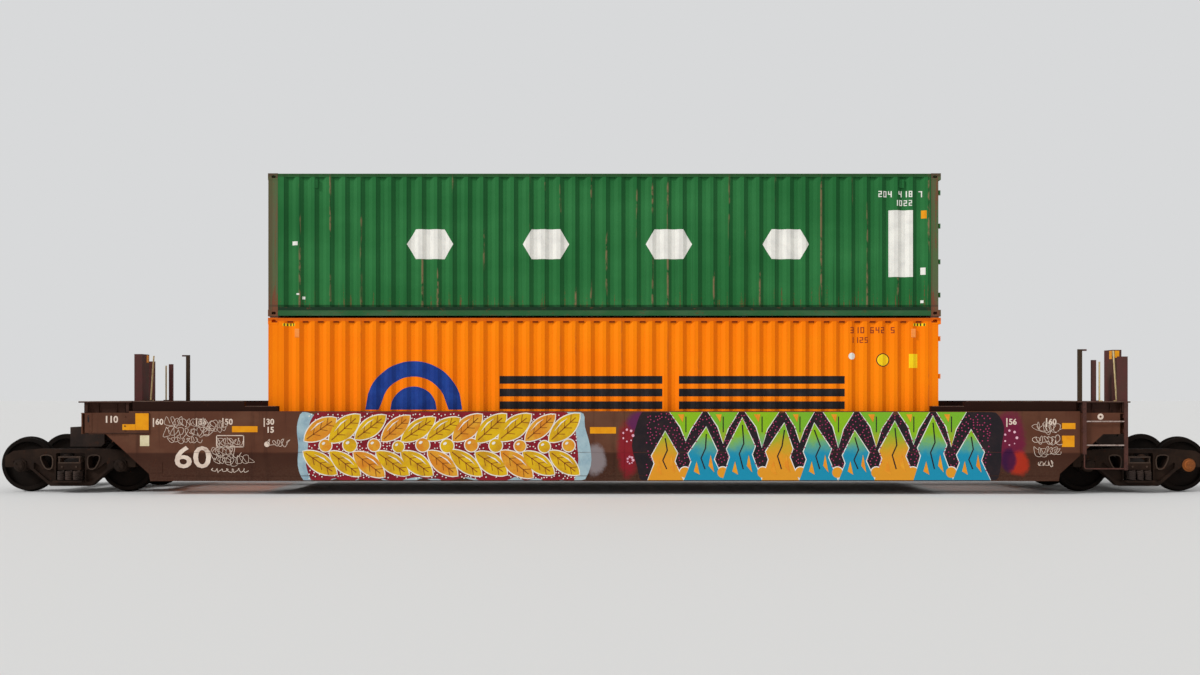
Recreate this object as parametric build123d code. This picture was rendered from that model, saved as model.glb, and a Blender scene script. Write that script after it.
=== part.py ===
from build123d import *
import os

# Middle unit of an articulated double-stack well car with two stacked containers.
# Millimetres. X runs along the track, Y across it and Z up, from the lowest point of the
# wheel flanges. The origin is at the middle of the unit. Heights of the truck and the car
# body are above the rail head.

# Wheelsets
FLANGE_DEPTH = 26.0
FLANGE_THICKNESS = 36.0
FLANGE_BEVEL = 12.0
WHEEL_RADIUS = 483.0
TREAD_BEVEL = 10.0
WHEEL_BACK_SPACING = 1353.0
RIM_WIDTH = 145.0
RIM_INNER_RADIUS = 418.0
RIM_FILLET = 16.0
HUB_RADIUS = 138.0
HUB_LENGTH = 178.0
HUB_SETBACK = 8.0
HUB_FILLET = 24.0
WEB_THICKNESS = 26.0
WEB_DISH = 18.0
WEB_SETBACK = 55.0
AXLE_RADIUS = 83.0
AXLE_TAPER = 40.0
AXLE_SEAT_RADIUS = 105.0
JOURNAL_RADIUS = 82.5
JOURNAL_SPACING = 2007.0
JOURNAL_LENGTH = 200.0
END_CAP_RADIUS = 92.0
END_CAP_THICKNESS = 38.0
END_CAP_BEVEL = 12.0

# Trucks
WHEELBASE = 1829.0
BEARING_RADIUS = 125.0
BEARING_LENGTH = 170.0
JOURNAL_CLEARANCE = 0.3
ADAPTER_THICKNESS = 26.0
ADAPTER_WIDTH = 250.0
ADAPTER_DROP = 81.0
SIDE_FRAME_WIDTH = 160.0
SIDE_FRAME_TOP = 775.0
SIDE_FRAME_BOTTOM = 100.0
SIDE_FRAME_END = 275.0
SIDE_FRAME_NOSE = 645.0
SHOULDER_SETBACK = 290.0
SHOULDER_FALL = 35.0
JAW_DEPTH = 190.0
JAW_WALL = 95.0
JAW_HEEL = 60.0
TENSION_START = 370.0
TENSION_DEPTH = 90.0
COLUMN_SPREAD = 530.0
COLUMN_TOP = 700.0
COLUMN_WIDTH = 70.0
TOP_MEMBER_DEPTH = 107.0
WINDOW_LENGTH = 220.0
WINDOW_FOOT = 430.0
WINDOW_TOE = 120.0
CAST_WALL = 24.0
CAST_RECESS = 45.0
CAST_ROUND = 24.0
LARGE_ROUND = 60.0
SPRING_SEAT = 205.0
SPRING_SEAT_WIDTH = 410.0
SPRING_SEAT_THICKNESS = 34.0
SPRING_RADIUS = 62.0
SPRING_PITCH = 142.0
SPRING_HEIGHT = 190.0
BOLSTER_WIDTH = 420.0
BOLSTER_LENGTH = 2250.0
BOLSTER_END_HEIGHT = 120.0
BOLSTER_MID_TOP = 660.0
BOLSTER_SHOULDER = 60.0
BOLSTER_HOLE_RADIUS = 34.0
BOLSTER_HOLE_HEIGHT = 70.0
BOLSTER_HOLE_SETBACKS = (225.0, 540.0)
BOWL_RADIUS = 222.0
BOWL_WALL = 26.0
BOWL_RIM = 45.0
BOWL_SEAT = 40.0
CENTRE_CLEARANCE = 0.3
SIDE_BEARING_SPREAD = 1270.0
SIDE_BEARING_LENGTH = 220.0
SIDE_BEARING_WIDTH = 110.0
SIDE_BEARING_TOP = 715.0
SIDE_BEARING_REACH = 150.0
BRAKE_BEAM_DROP = 110.0
BRAKE_BEAM_HEIGHT = 90.0
BRAKE_BEAM_WIDTH = 50.0
BRAKE_SHOE_GAP = 6.0
BRAKE_SHOE_DEPTH = 48.0
BRAKE_SHOE_WIDTH = 86.0
BRAKE_SHOE_OFFSET = 80.0
BRAKE_HEAD_DEPTH = 62.0
BRAKE_HEAD_LOW = 120.0
BRAKE_HEAD_HIGH = 150.0

# Containers
CONTAINER_LENGTH = 12192.0
CONTAINER_WIDTH = 2438.0
LOWER_HEIGHT = 2896.0
UPPER_HEIGHT = 2591.0
STACK_GAP = 24.0
LOCK_PLAY = 6.0
LOCK_PLATE_LENGTH = 156.0
LOCK_PLATE_WIDTH = 100.0
CASTING_LENGTH = 178.0
CASTING_WIDTH = 162.0
CASTING_HEIGHT = 118.0
CASTING_WALL = 16.0
CASTING_CAP = 28.0
HOLE_LENGTH = 124.5
HOLE_WIDTH = 63.5
SIDE_HOLE_LENGTH = 79.5
SIDE_HOLE_WIDTH = 51.0
HOLE_FROM_END = 103.5
HOLE_FROM_SIDE = 89.5
CUT_MARGIN = 1.0
BASE_LIFT = 12.5
BASE_RAIL_TOP = 170.0
RAIL_THICKNESS = 45.0
RAIL_INSET = 3.0
CROSS_MEMBER_COUNT = 29
CROSS_MEMBER_WIDTH = 45.0
CROSS_MEMBER_LIFT = 20.5
FLOOR_THICKNESS = 28.0
TOP_RAIL = 60.0
ROOF_DROP = 8.0
ROOF_PITCH = 209.0
ROOF_FLAT = 91.0
ROOF_SLOPE = 16.0
ROOF_DEPTH = 20.0
CORRUGATION_PITCH = 278.0
CORRUGATION_FLAT = 72.0
CORRUGATION_SLOPE = 68.0
CORRUGATION_DEPTH = 36.0
SHEET_WALL = 6.0
END_PITCH = 250.0
END_FLAT = 110.0
END_SLOPE = 30.0
END_DEPTH = 46.0
END_PANEL_SETBACK = 12.0
POST_WIDTH = 51.0
DOOR_FACE_SETBACK = 45.0
DOOR_THICKNESS = 50.0
DOOR_GAP = 5.0
DOOR_MARGIN = 70.0
LEAF_SPLIT = 8.0
DOOR_SILL_TOP = 155.0
HINGE_PIN_RADIUS = 10.0
HINGE_EYE_RADIUS = 15.0
HINGE_CLEARANCE = 0.3
HINGE_OFFSET = 30.0
HINGE_PIN_SETBACK = 29.0
HINGE_EYE_HEIGHT = 60.0
HINGE_LUG_HEIGHT = 14.0
HINGE_GAP = 0.5
HINGE_PLACES = (0.10, 0.36, 0.64, 0.90)
BLADE_THICKNESS = 10.0
BLADE_LENGTH = 190.0
BLADE_LAP = 2.0
EYE_WALL = 5.0
LOCK_ROD_RADIUS = 16.0
LOCK_ROD_STAND = 8.0
LOCK_ROD_PLACES = (0.26, 0.80)
LOCK_ROD_END = 10.0
GUIDE_WIDTH = 68.0
GUIDE_HEIGHT = 48.0
GUIDE_PROUD = 6.0
HANDLE_HEIGHT = 1040.0
HANDLE_LENGTH = 280.0
HANDLE_WIDTH = 34.0
HANDLE_THICKNESS = 12.0
RECESS_DEPTH = 22.0
RECESS_ROWS = 4

# Car body, crosswise: the well fits round a container, and the rest is built out from it
WELL_SIDE_PLAY = 91.0
CHORD_WIDTH = 168.0
SHEET_THICKNESS = 12.0

# Car body, upright
SILL_BOTTOM = 220.0
SILL_TOP = 1467.0
STEP_TOP = 1560.0
RAISED_TOP = 1646.0
TOP_CHORD_DEPTH = 170.0
BOTTOM_CHORD_DEPTH = 160.0
FLOOR_TOP = 265.0
SLOPE_FOOT = 350.0
PLATFORM_BOTTOM = 1060.0
PLATFORM_TOP = 1440.0
PLATFORM_PLATE = 14.0
BULKHEAD_DROP = 60.0
CENTRE_SILL_BOTTOM = 800.0
CENTRE_SILL_HEEL = 240.0
ARM_BOTTOM = 1080.0

# Car body, lengthwise, out from the end of the well
WELL_LENGTH = 16240.0
SLOPE_FOOT_REACH = 20.0
SLOPE_HEAD_REACH = 800.0
CENTRE_SILL_SLOPE_REACH = 140.0
RAISED_REACH = 330.0
SHEET_REACH = 380.0
PANEL_REACH = 1100.0
ARM_REACH = 1160.0
CENTRE_SILL_REACH = 1210.0
PLATFORM_REACH = 1240.0
TRUCK_REACH = 1620.0

# Car body, details
STEP_LAP = 246.0
RAISED_LEAD = 354.0
RAISED_INSET = 42.0
RAISED_WIDTH = 110.0
RIB_PITCH = 1180.0
RIB_THICKNESS = 12.0
RIB_DEPTH = 75.0
BEARER_WIDTH = 300.0
STRAP_WIDTH = 180.0
STRAP_THICKNESS = 16.0
STRAP_SPREAD = 1500.0
BULKHEAD_THICKNESS = 20.0
STIFFENER_COUNT = 4
STIFFENER_DEPTH = 70.0
ARM_PROUD = 30.0
CENTRE_SILL_WIDTH = 600.0

# Articulated connectors
CHEEK_SPREAD = 420.0
TONGUE_WIDTH = 240.0
TONGUE_TOP = 1120.0
TONGUE_BOTTOM = 900.0
TONGUE_CLEARANCE = 6.0
SOCKET_TOP = 1150.0
SOCKET_HEADROOM = 20.0
SOCKET_REACH = 230.0
SOCKET_FOOT = 780.0
SOCKET_BEVEL = 60.0
SOCKET_DEPTH = 250.0
CONNECTOR_PIN_RADIUS = 50.0
PIN_CLEARANCE = 0.3
WELD_FACE_REACH = 420.0

# Decks, ladders and posts
DECK_LAP = 45.0
DECK_NOSE = 60.0
DECK_INSET = 40.0
DECK_THICKNESS = 26.0
DECK_LEG = 60.0
LADDER_SETBACK = 60.0
LADDER_WIDTH = 740.0
LADDER_STAND_OFF = 55.0
STILE_WIDTH = 64.0
STILE_THICKNESS = 26.0
RUNG_RADIUS = 12.0
STEP_BEND = 40.0
RUNG_HEIGHTS = (862.0, 1287.0)
STEP_HEIGHT = 417.0
STEP_ARM_TOP = 700.0
BRACKET_INSET = 60.0
BRACKET_HEIGHT = 60.0
POST_TOP = 2580.0
ROD_RADIUS = 15.0
ROD_BASE = 80.0
RAIL_FOOT = 16.0
HOOK_LENGTH = 80.0
HOOK_DEPTH = 30.0
# Posts: from the deck's end and edge to the post's middle, its length and width, and how
# much lower than the highest post it ends
BOX_POST = (115.0, 440.0, 160.0, 340.0, 0.0)
CORNER_POST = (130.0, 37.5, 170.0, 55.0, 130.0)
THIN_POST = (595.0, 155.0, 70.0, 70.0, 190.0)
HOOK_POST = (895.0, 35.0, 70.0, 50.0, 0.0)
# Handrails: from the deck's end and edge, how far the foot stands out, and how much lower
UPRIGHT_ROD = (490.0, 150.0, 0.0, 220.0)
LEANING_ROD = (240.0, 150.0, 60.0, 20.0)
RESERVOIR_RADIUS = 72.0
RESERVOIR_LENGTH = 860.0
RESERVOIR_DOME = 36.0
SADDLE_HEIGHT = 12.0
SADDLE_WIDTH = 50.0
SADDLE_LENGTH = 100.0

# Worked-out places
RAIL = FLANGE_DEPTH
AXLE_Z = RAIL + WHEEL_RADIUS
HALF_LONG = CONTAINER_LENGTH / 2
HALF_WIDE = CONTAINER_WIDTH / 2
CASTING_X = HALF_LONG - CASTING_LENGTH
HALF_WELL = HALF_WIDE + WELL_SIDE_PLAY
SHEET_INNER = HALF_WELL + CHORD_WIDTH
HALF_BODY = SHEET_INNER + SHEET_THICKNESS
WELL_END = WELL_LENGTH / 2
SHEET_END = WELL_END + SHEET_REACH
PLATFORM_END = WELL_END + PLATFORM_REACH
CENTRE_SILL_END = WELL_END + CENTRE_SILL_REACH
TRUCK_X = WELL_END + TRUCK_REACH
DECK_START = SHEET_END - DECK_LAP
DECK_END = PLATFORM_END + DECK_NOSE
HALF_DECK = HALF_BODY - DECK_INSET
LADDER_FACE = HALF_BODY + LADDER_STAND_OFF
LADDER_LEFT = SHEET_END + LADDER_SETBACK
LADDER_RIGHT = LADDER_LEFT + LADDER_WIDTH
PIN_Z = RAIL + (TONGUE_TOP + TONGUE_BOTTOM) / 2
FLOOR_Z = RAIL + FLOOR_TOP
FRAME_Y = JOURNAL_SPACING / 2
BOWL_FLOOR = RAIL + BOLSTER_MID_TOP

nodes = {}


def block(x0, x1, y0, y1, z0, z1):
    """A block between two corners."""
    centre = Pos((x0 + x1) / 2, (y0 + y1) / 2, (z0 + z1) / 2)
    return centre * Box(abs(x1 - x0), abs(y1 - y0), abs(z1 - z0))


def side_plate(points, y0, y1):
    """A plate with an outline in X and Z, from y0 to y1."""
    outline = Polyline(*[(x, y0, z) for x, z in points], close=True)
    return extrude(make_face(outline), amount=y1 - y0, dir=(0, 1, 0))


def rounded_plate(rows, y0, y1):
    """A plate with rounded corners, from rows of x, z and the corner's radius."""
    corners = [(x, y0, z) for x, z, radius in rows]
    outline = FilletPolyline(*corners, radius=[radius for x, z, radius in rows], close=True)
    return extrude(make_face(outline), amount=y1 - y0, dir=(0, 1, 0))


def cross_plate(points, x0, x1):
    """A plate with an outline in Y and Z, from x0 to x1."""
    outline = Polyline(*[(x0, y, z) for y, z in points], close=True)
    return extrude(make_face(outline), amount=x1 - x0, dir=(1, 0, 0))


def level_plate(points, z0, z1):
    """A plate with an outline in X and Y, from z0 to z1."""
    outline = Polyline(*[(x, y, z0) for x, y in points], close=True)
    return extrude(make_face(outline), amount=z1 - z0, dir=(0, 0, 1))


def cross_bar(x, z, y0, y1, radius):
    """A round bar that runs across the car."""
    return Pos(x, (y0 + y1) / 2, z) * Rot(90, 0, 0) * Cylinder(radius, abs(y1 - y0))


def long_bar(y, z, x0, x1, radius):
    """A round bar that runs along the car."""
    return Pos((x0 + x1) / 2, y, z) * Rot(0, 90, 0) * Cylinder(radius, abs(x1 - x0))


def upright_bar(x, y, z0, z1, radius):
    """A round bar that stands up."""
    return Pos(x, y, (z0 + z1) / 2) * Cylinder(radius, z1 - z0)


def joined(shapes):
    """All the shapes fused into one."""
    body = shapes[0]
    for shape in shapes[1:]:
        body = body + shape
    return body


def half_turn(shape):
    """The shape turned half round the middle of the unit."""
    return Rot(0, 0, 180) * shape


def across(shape):
    """The shape mirrored to the other side of the car."""
    return mirror(shape, about=Plane.XZ)


def mirrored_outline(half):
    """A closed outline from its half at positive x, in order from the middle line round."""
    return half + [(-row[0],) + tuple(row[1:]) for row in reversed(half)]


def add(name, shapes):
    """Keep the solids of one node."""
    nodes[name] = shapes


def turned_wheel(x, side):
    """One wheel: hub, dished web, rim and flange, revolved about its axle."""
    back = WHEEL_BACK_SPACING / 2
    front = back + RIM_WIDTH
    flange_radius = WHEEL_RADIUS + FLANGE_DEPTH
    hub_back = back - HUB_SETBACK
    hub_front = hub_back + HUB_LENGTH
    web_rim = back + WEB_SETBACK
    web_hub = web_rim + WEB_DISH
    web_foot = HUB_RADIUS + HUB_FILLET
    web_head = RIM_INNER_RADIUS - RIM_FILLET
    profile = [
        (hub_back, AXLE_SEAT_RADIUS),
        (hub_back, HUB_RADIUS),
        (web_hub, web_foot),
        (web_rim, web_head),
        (back, RIM_INNER_RADIUS),
        (back, flange_radius - FLANGE_BEVEL),
        (back + FLANGE_BEVEL, flange_radius),
        (back + FLANGE_THICKNESS - FLANGE_BEVEL, flange_radius),
        (back + FLANGE_THICKNESS, WHEEL_RADIUS),
        (front - TREAD_BEVEL, WHEEL_RADIUS),
        (front, WHEEL_RADIUS - TREAD_BEVEL),
        (front, RIM_INNER_RADIUS),
        (web_rim + WEB_THICKNESS, web_head),
        (web_hub + WEB_THICKNESS, web_foot),
        (hub_front, HUB_RADIUS),
        (hub_front, AXLE_SEAT_RADIUS),
    ]
    outline = Polyline(*[(0, side * y, r) for y, r in profile], close=True)
    wheel = revolve(make_face(outline), axis=Axis.Y)
    return Pos(x, 0, AXLE_Z) * wheel


def turned_axle(x):
    """One axle with its wheel seats, journals and end caps."""
    hub_back = WHEEL_BACK_SPACING / 2 - HUB_SETBACK
    hub_front = hub_back + HUB_LENGTH
    journal_end = FRAME_Y + JOURNAL_LENGTH / 2
    cap_end = journal_end + END_CAP_THICKNESS
    half = [
        (0, AXLE_RADIUS),
        (hub_back - AXLE_TAPER, AXLE_RADIUS),
        (hub_back, AXLE_SEAT_RADIUS),
        (hub_front, AXLE_SEAT_RADIUS),
        (hub_front, JOURNAL_RADIUS),
        (journal_end, JOURNAL_RADIUS),
        (journal_end, END_CAP_RADIUS),
        (cap_end - END_CAP_BEVEL, END_CAP_RADIUS),
        (cap_end, END_CAP_RADIUS - END_CAP_BEVEL),
        (cap_end, 0),
    ]
    profile = [(-y, r) for y, r in reversed(half)] + half[1:]
    outline = Polyline(*[(0, y, r) for y, r in profile], close=True)
    return Pos(x, 0, AXLE_Z) * revolve(make_face(outline), axis=Axis.Y)


def side_frame(x, side):
    """One cast side frame: arch, pedestal jaws, bolster opening, windows and pockets."""
    half_base = WHEELBASE / 2
    jaw = ADAPTER_WIDTH / 2
    roof = WHEEL_RADIUS + BEARING_RADIUS + ADAPTER_THICKNESS
    jaw_foot = roof - JAW_DEPTH
    frame_end = half_base + SIDE_FRAME_END
    inner_jaw = half_base - jaw - JAW_WALL
    half_outline = [
        (half_base - SHOULDER_SETBACK, RAIL + SIDE_FRAME_TOP, LARGE_ROUND),
        (half_base + jaw, RAIL + SIDE_FRAME_TOP - SHOULDER_FALL, LARGE_ROUND),
        (frame_end, RAIL + SIDE_FRAME_NOSE, LARGE_ROUND),
        (frame_end, RAIL + jaw_foot, CAST_ROUND),
        (half_base + jaw, RAIL + jaw_foot, CAST_ROUND),
        (half_base + jaw, RAIL + roof, 0),
        (half_base - jaw, RAIL + roof, 0),
        (half_base - jaw, RAIL + jaw_foot, CAST_ROUND),
        (inner_jaw, RAIL + jaw_foot - JAW_HEEL, LARGE_ROUND),
        (TENSION_START, RAIL + SIDE_FRAME_BOTTOM, LARGE_ROUND),
    ]
    column_in = COLUMN_SPREAD / 2
    column_out = column_in + COLUMN_WIDTH
    window_top = SIDE_FRAME_TOP - TOP_MEMBER_DEPTH
    pocket_top = WINDOW_FOOT - CAST_WALL
    inner = FRAME_Y - SIDE_FRAME_WIDTH / 2
    outer = FRAME_Y + SIDE_FRAME_WIDTH / 2
    frame = rounded_plate(mirrored_outline(half_outline), inner, outer)
    opening = [
        (column_in, RAIL + SPRING_SEAT, 0),
        (column_in, RAIL + COLUMN_TOP, CAST_ROUND),
    ]
    frame = frame - rounded_plate(mirrored_outline(opening), inner, outer)
    for hand in (-1, 1):
        window = [
            (hand * column_out, RAIL + window_top, CAST_ROUND),
            (hand * (column_out + WINDOW_LENGTH), RAIL + window_top, CAST_ROUND),
            (hand * (column_out + WINDOW_TOE), RAIL + WINDOW_FOOT, CAST_ROUND),
            (hand * column_out, RAIL + WINDOW_FOOT, CAST_ROUND),
        ]
        frame = frame - rounded_plate(window, inner, outer)
        pocket = [
            (hand * (column_in + CAST_WALL), RAIL + SIDE_FRAME_BOTTOM + CAST_WALL * 3, CAST_ROUND),
            (hand * (TENSION_START + CAST_WALL), RAIL + SIDE_FRAME_BOTTOM + TENSION_DEPTH, CAST_ROUND),
            (hand * (inner_jaw - CAST_WALL), RAIL + jaw_foot - CAST_WALL, CAST_ROUND),
            (hand * (inner_jaw - CAST_WALL), RAIL + WINDOW_FOOT + WINDOW_TOE, CAST_ROUND),
            (hand * (column_out + WINDOW_TOE + CAST_WALL), RAIL + pocket_top, CAST_ROUND),
            (hand * (column_in + CAST_WALL), RAIL + pocket_top, CAST_ROUND),
        ]
        frame = frame - rounded_plate(pocket, outer - CAST_RECESS, outer)
    seat_bottom = RAIL + SPRING_SEAT - SPRING_SEAT_THICKNESS
    half_seat = SPRING_SEAT_WIDTH / 2
    seat_top = RAIL + SPRING_SEAT
    seat = block(-column_in, column_in, FRAME_Y - half_seat, FRAME_Y + half_seat, seat_bottom, seat_top)
    frame = Pos(x, 0, 0) * (frame + seat)
    return frame if side > 0 else across(frame)


def spring_group(x, side):
    """Nine load springs under one end of the bolster."""
    bottom = RAIL + SPRING_SEAT
    spring = Pos(0, 0, bottom + SPRING_HEIGHT / 2) * Cylinder(SPRING_RADIUS, SPRING_HEIGHT)
    places = GridLocations(SPRING_PITCH, SPRING_PITCH, 3, 3)
    return [Pos(x, side * FRAME_Y, 0) * place * spring for place in places]


def truck_bolster(x):
    """The cross beam with its centre bowl and side bearings."""
    end = BOLSTER_LENGTH / 2
    bottom = RAIL + SPRING_SEAT + SPRING_HEIGHT
    end_top = bottom + BOLSTER_END_HEIGHT
    shoulder = SIDE_BEARING_SPREAD / 2 + SIDE_BEARING_REACH
    half_outline = [
        (end, bottom),
        (end, end_top),
        (shoulder, end_top + BOLSTER_SHOULDER),
        (BOWL_RADIUS + BOWL_SEAT, RAIL + BOLSTER_MID_TOP),
    ]
    half_width = BOLSTER_WIDTH / 2
    beam = cross_plate(mirrored_outline(half_outline), -half_width, half_width)
    rim = Pos(0, 0, BOWL_FLOOR + BOWL_RIM / 2) * Cylinder(BOWL_RADIUS, BOWL_RIM)
    well = Pos(0, 0, BOWL_FLOOR + BOWL_RIM / 2) * Cylinder(BOWL_RADIUS - BOWL_WALL, BOWL_RIM)
    beam = beam + rim - well
    half_length = SIDE_BEARING_LENGTH / 2
    for side in (-1, 1):
        y0 = side * SIDE_BEARING_SPREAD / 2 - SIDE_BEARING_WIDTH / 2
        y1 = y0 + SIDE_BEARING_WIDTH
        beam = beam + block(-half_length, half_length, y0, y1, end_top, RAIL + SIDE_BEARING_TOP)
        for setback in BOLSTER_HOLE_SETBACKS:
            place = Pos(0, side * (end - setback), bottom + BOLSTER_HOLE_HEIGHT)
            beam = beam - place * Rot(0, 90, 0) * Cylinder(BOLSTER_HOLE_RADIUS, BOLSTER_WIDTH)
    return Pos(x, 0, 0) * beam


def bearing_adapter(x, side):
    """A bearing ring round the journal, with the saddle that carries the pedestal."""
    inner = side * FRAME_Y - BEARING_LENGTH / 2
    outer = side * FRAME_Y + BEARING_LENGTH / 2
    roof = AXLE_Z + BEARING_RADIUS + ADAPTER_THICKNESS
    ring = cross_bar(x, AXLE_Z, inner, outer, BEARING_RADIUS)
    saddle_inner = side * FRAME_Y - SIDE_FRAME_WIDTH / 2
    saddle_outer = side * FRAME_Y + SIDE_FRAME_WIDTH / 2
    half_width = ADAPTER_WIDTH / 2
    saddle = block(x - half_width, x + half_width, saddle_inner, saddle_outer, roof - ADAPTER_DROP, roof)
    bore = cross_bar(x, AXLE_Z, inner - CUT_MARGIN, outer + CUT_MARGIN, JOURNAL_RADIUS + JOURNAL_CLEARANCE)
    return ring + saddle - bore


def brake_beam(x, direction):
    """A brake beam with a head and a shoe for each wheel tread."""
    tread = x + direction * (WHEELBASE / 2 - WHEEL_RADIUS)
    beam_x = tread - direction * (BRAKE_SHOE_GAP + BRAKE_SHOE_DEPTH + BRAKE_HEAD_DEPTH)
    z = AXLE_Z - BRAKE_BEAM_DROP
    wheel_y = WHEEL_BACK_SPACING / 2 + BRAKE_SHOE_OFFSET
    guide_y = FRAME_Y - SIDE_FRAME_WIDTH / 2
    half_beam = BRAKE_BEAM_WIDTH / 2
    half_height = BRAKE_BEAM_HEIGHT / 2
    half_shoe = BRAKE_SHOE_WIDTH / 2
    beam = block(beam_x - half_beam, beam_x + half_beam, -guide_y, guide_y, z - half_height, z + half_height)
    axle_x = x + direction * WHEELBASE / 2
    for side in (-1, 1):
        y0 = side * wheel_y - half_shoe
        y1 = side * wheel_y + half_shoe
        head = block(beam_x, axle_x, y0, y1, z - BRAKE_HEAD_LOW, z + BRAKE_HEAD_HIGH)
        swept = cross_bar(axle_x, AXLE_Z, y0 - CUT_MARGIN, y1 + CUT_MARGIN, WHEEL_RADIUS + BRAKE_SHOE_GAP)
        beam = beam + (head - swept)
    return beam


def build_truck(name, x):
    """One three-piece truck with its two wheelsets."""
    add(name + "_bolster", [truck_bolster(x)])
    add(name + "_side_frames", [side_frame(x, side) for side in (-1, 1)])
    add(name + "_springs", spring_group(x, -1) + spring_group(x, 1))
    adapters = []
    for end in (-1, 1):
        for side in (-1, 1):
            adapters.append(bearing_adapter(x + end * WHEELBASE / 2, side))
    add(name + "_adapters", adapters)
    add(name + "_brake_beams", [brake_beam(x, -1), brake_beam(x, 1)])


def build_wheelset(number, x):
    """Two wheels on an axle."""
    add("wheels_" + str(number), [turned_wheel(x, side) for side in (-1, 1)])
    add("axle_" + str(number), [turned_axle(x)])


def side_sill(side):
    """One side of the well: side sheet, box chords, ribs and raised ends."""
    chord_bottom = RAIL + SILL_TOP - TOP_CHORD_DEPTH
    flange_top = RAIL + SILL_BOTTOM + BOTTOM_CHORD_DEPTH
    rise = (PLATFORM_BOTTOM - SLOPE_FOOT) / (SLOPE_HEAD_REACH - SLOPE_FOOT_REACH)
    cut_z = SLOPE_FOOT + (SHEET_REACH - SLOPE_FOOT_REACH) * rise
    half_outline = [
        (SHEET_END, RAIL + SILL_TOP),
        (SHEET_END, RAIL + cut_z),
        (WELL_END + SLOPE_FOOT_REACH, RAIL + SLOPE_FOOT),
        (WELL_END, RAIL + SILL_BOTTOM),
    ]
    sheet = side_plate(mirrored_outline(half_outline), SHEET_INNER, HALF_BODY)
    top_chord = block(-SHEET_END, SHEET_END, HALF_WELL, SHEET_INNER, chord_bottom, RAIL + SILL_TOP)
    bottom_chord = block(-WELL_END, WELL_END, HALF_WELL, SHEET_INNER, RAIL + SILL_BOTTOM, flange_top)
    solids = [sheet, top_chord, bottom_chord]
    raised_outer = HALF_BODY - RAISED_INSET
    raised_inner = raised_outer - RAISED_WIDTH
    step_start = HALF_LONG - STEP_LAP
    raised_start = HALF_LONG + RAISED_LEAD
    raised_end = WELL_END + RAISED_REACH
    for end in (-1, 1):
        stepped = [
            (end * step_start, RAIL + SILL_TOP),
            (end * step_start, RAIL + STEP_TOP),
            (end * raised_start, RAIL + STEP_TOP),
            (end * raised_start, RAIL + RAISED_TOP),
            (end * raised_end, RAIL + RAISED_TOP),
            (end * raised_end, RAIL + SILL_TOP),
        ]
        solids.append(side_plate(stepped, raised_inner, raised_outer))
    half_rib = RIB_THICKNESS / 2
    rib = block(-half_rib, half_rib, SHEET_INNER - RIB_DEPTH, SHEET_INNER, flange_top, chord_bottom)
    rib_count = int(WELL_END / RIB_PITCH)
    for index in range(-rib_count, rib_count + 1):
        solids.append(Pos(index * RIB_PITCH, 0, 0) * rib)
    return solids if side > 0 else [across(solid) for solid in solids]


def well_floor():
    """Cross bearers between the bottom chords, joined by two lines of straps."""
    solids = []
    bottom = RAIL + SILL_BOTTOM
    casting_middle = HALF_LONG - CASTING_LENGTH / 2
    end_middle = WELL_END - BEARER_WIDTH / 2
    places = [-end_middle, -casting_middle, -casting_middle / 2, 0]
    places = places + [-x for x in reversed(places[:-1])]
    half_bearer = BEARER_WIDTH / 2
    half_strap = STRAP_WIDTH / 2
    for x in places:
        solids.append(block(x - half_bearer, x + half_bearer, -HALF_WELL, HALF_WELL, bottom, FLOOR_Z))
    for x0, x1 in zip(places, places[1:]):
        for side in (-1, 1):
            y = side * STRAP_SPREAD / 2
            top = bottom + STRAP_THICKNESS
            strap = block(x0 + half_bearer, x1 - half_bearer, y - half_strap, y + half_strap, bottom, top)
            solids.append(strap)
    return solids


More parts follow.
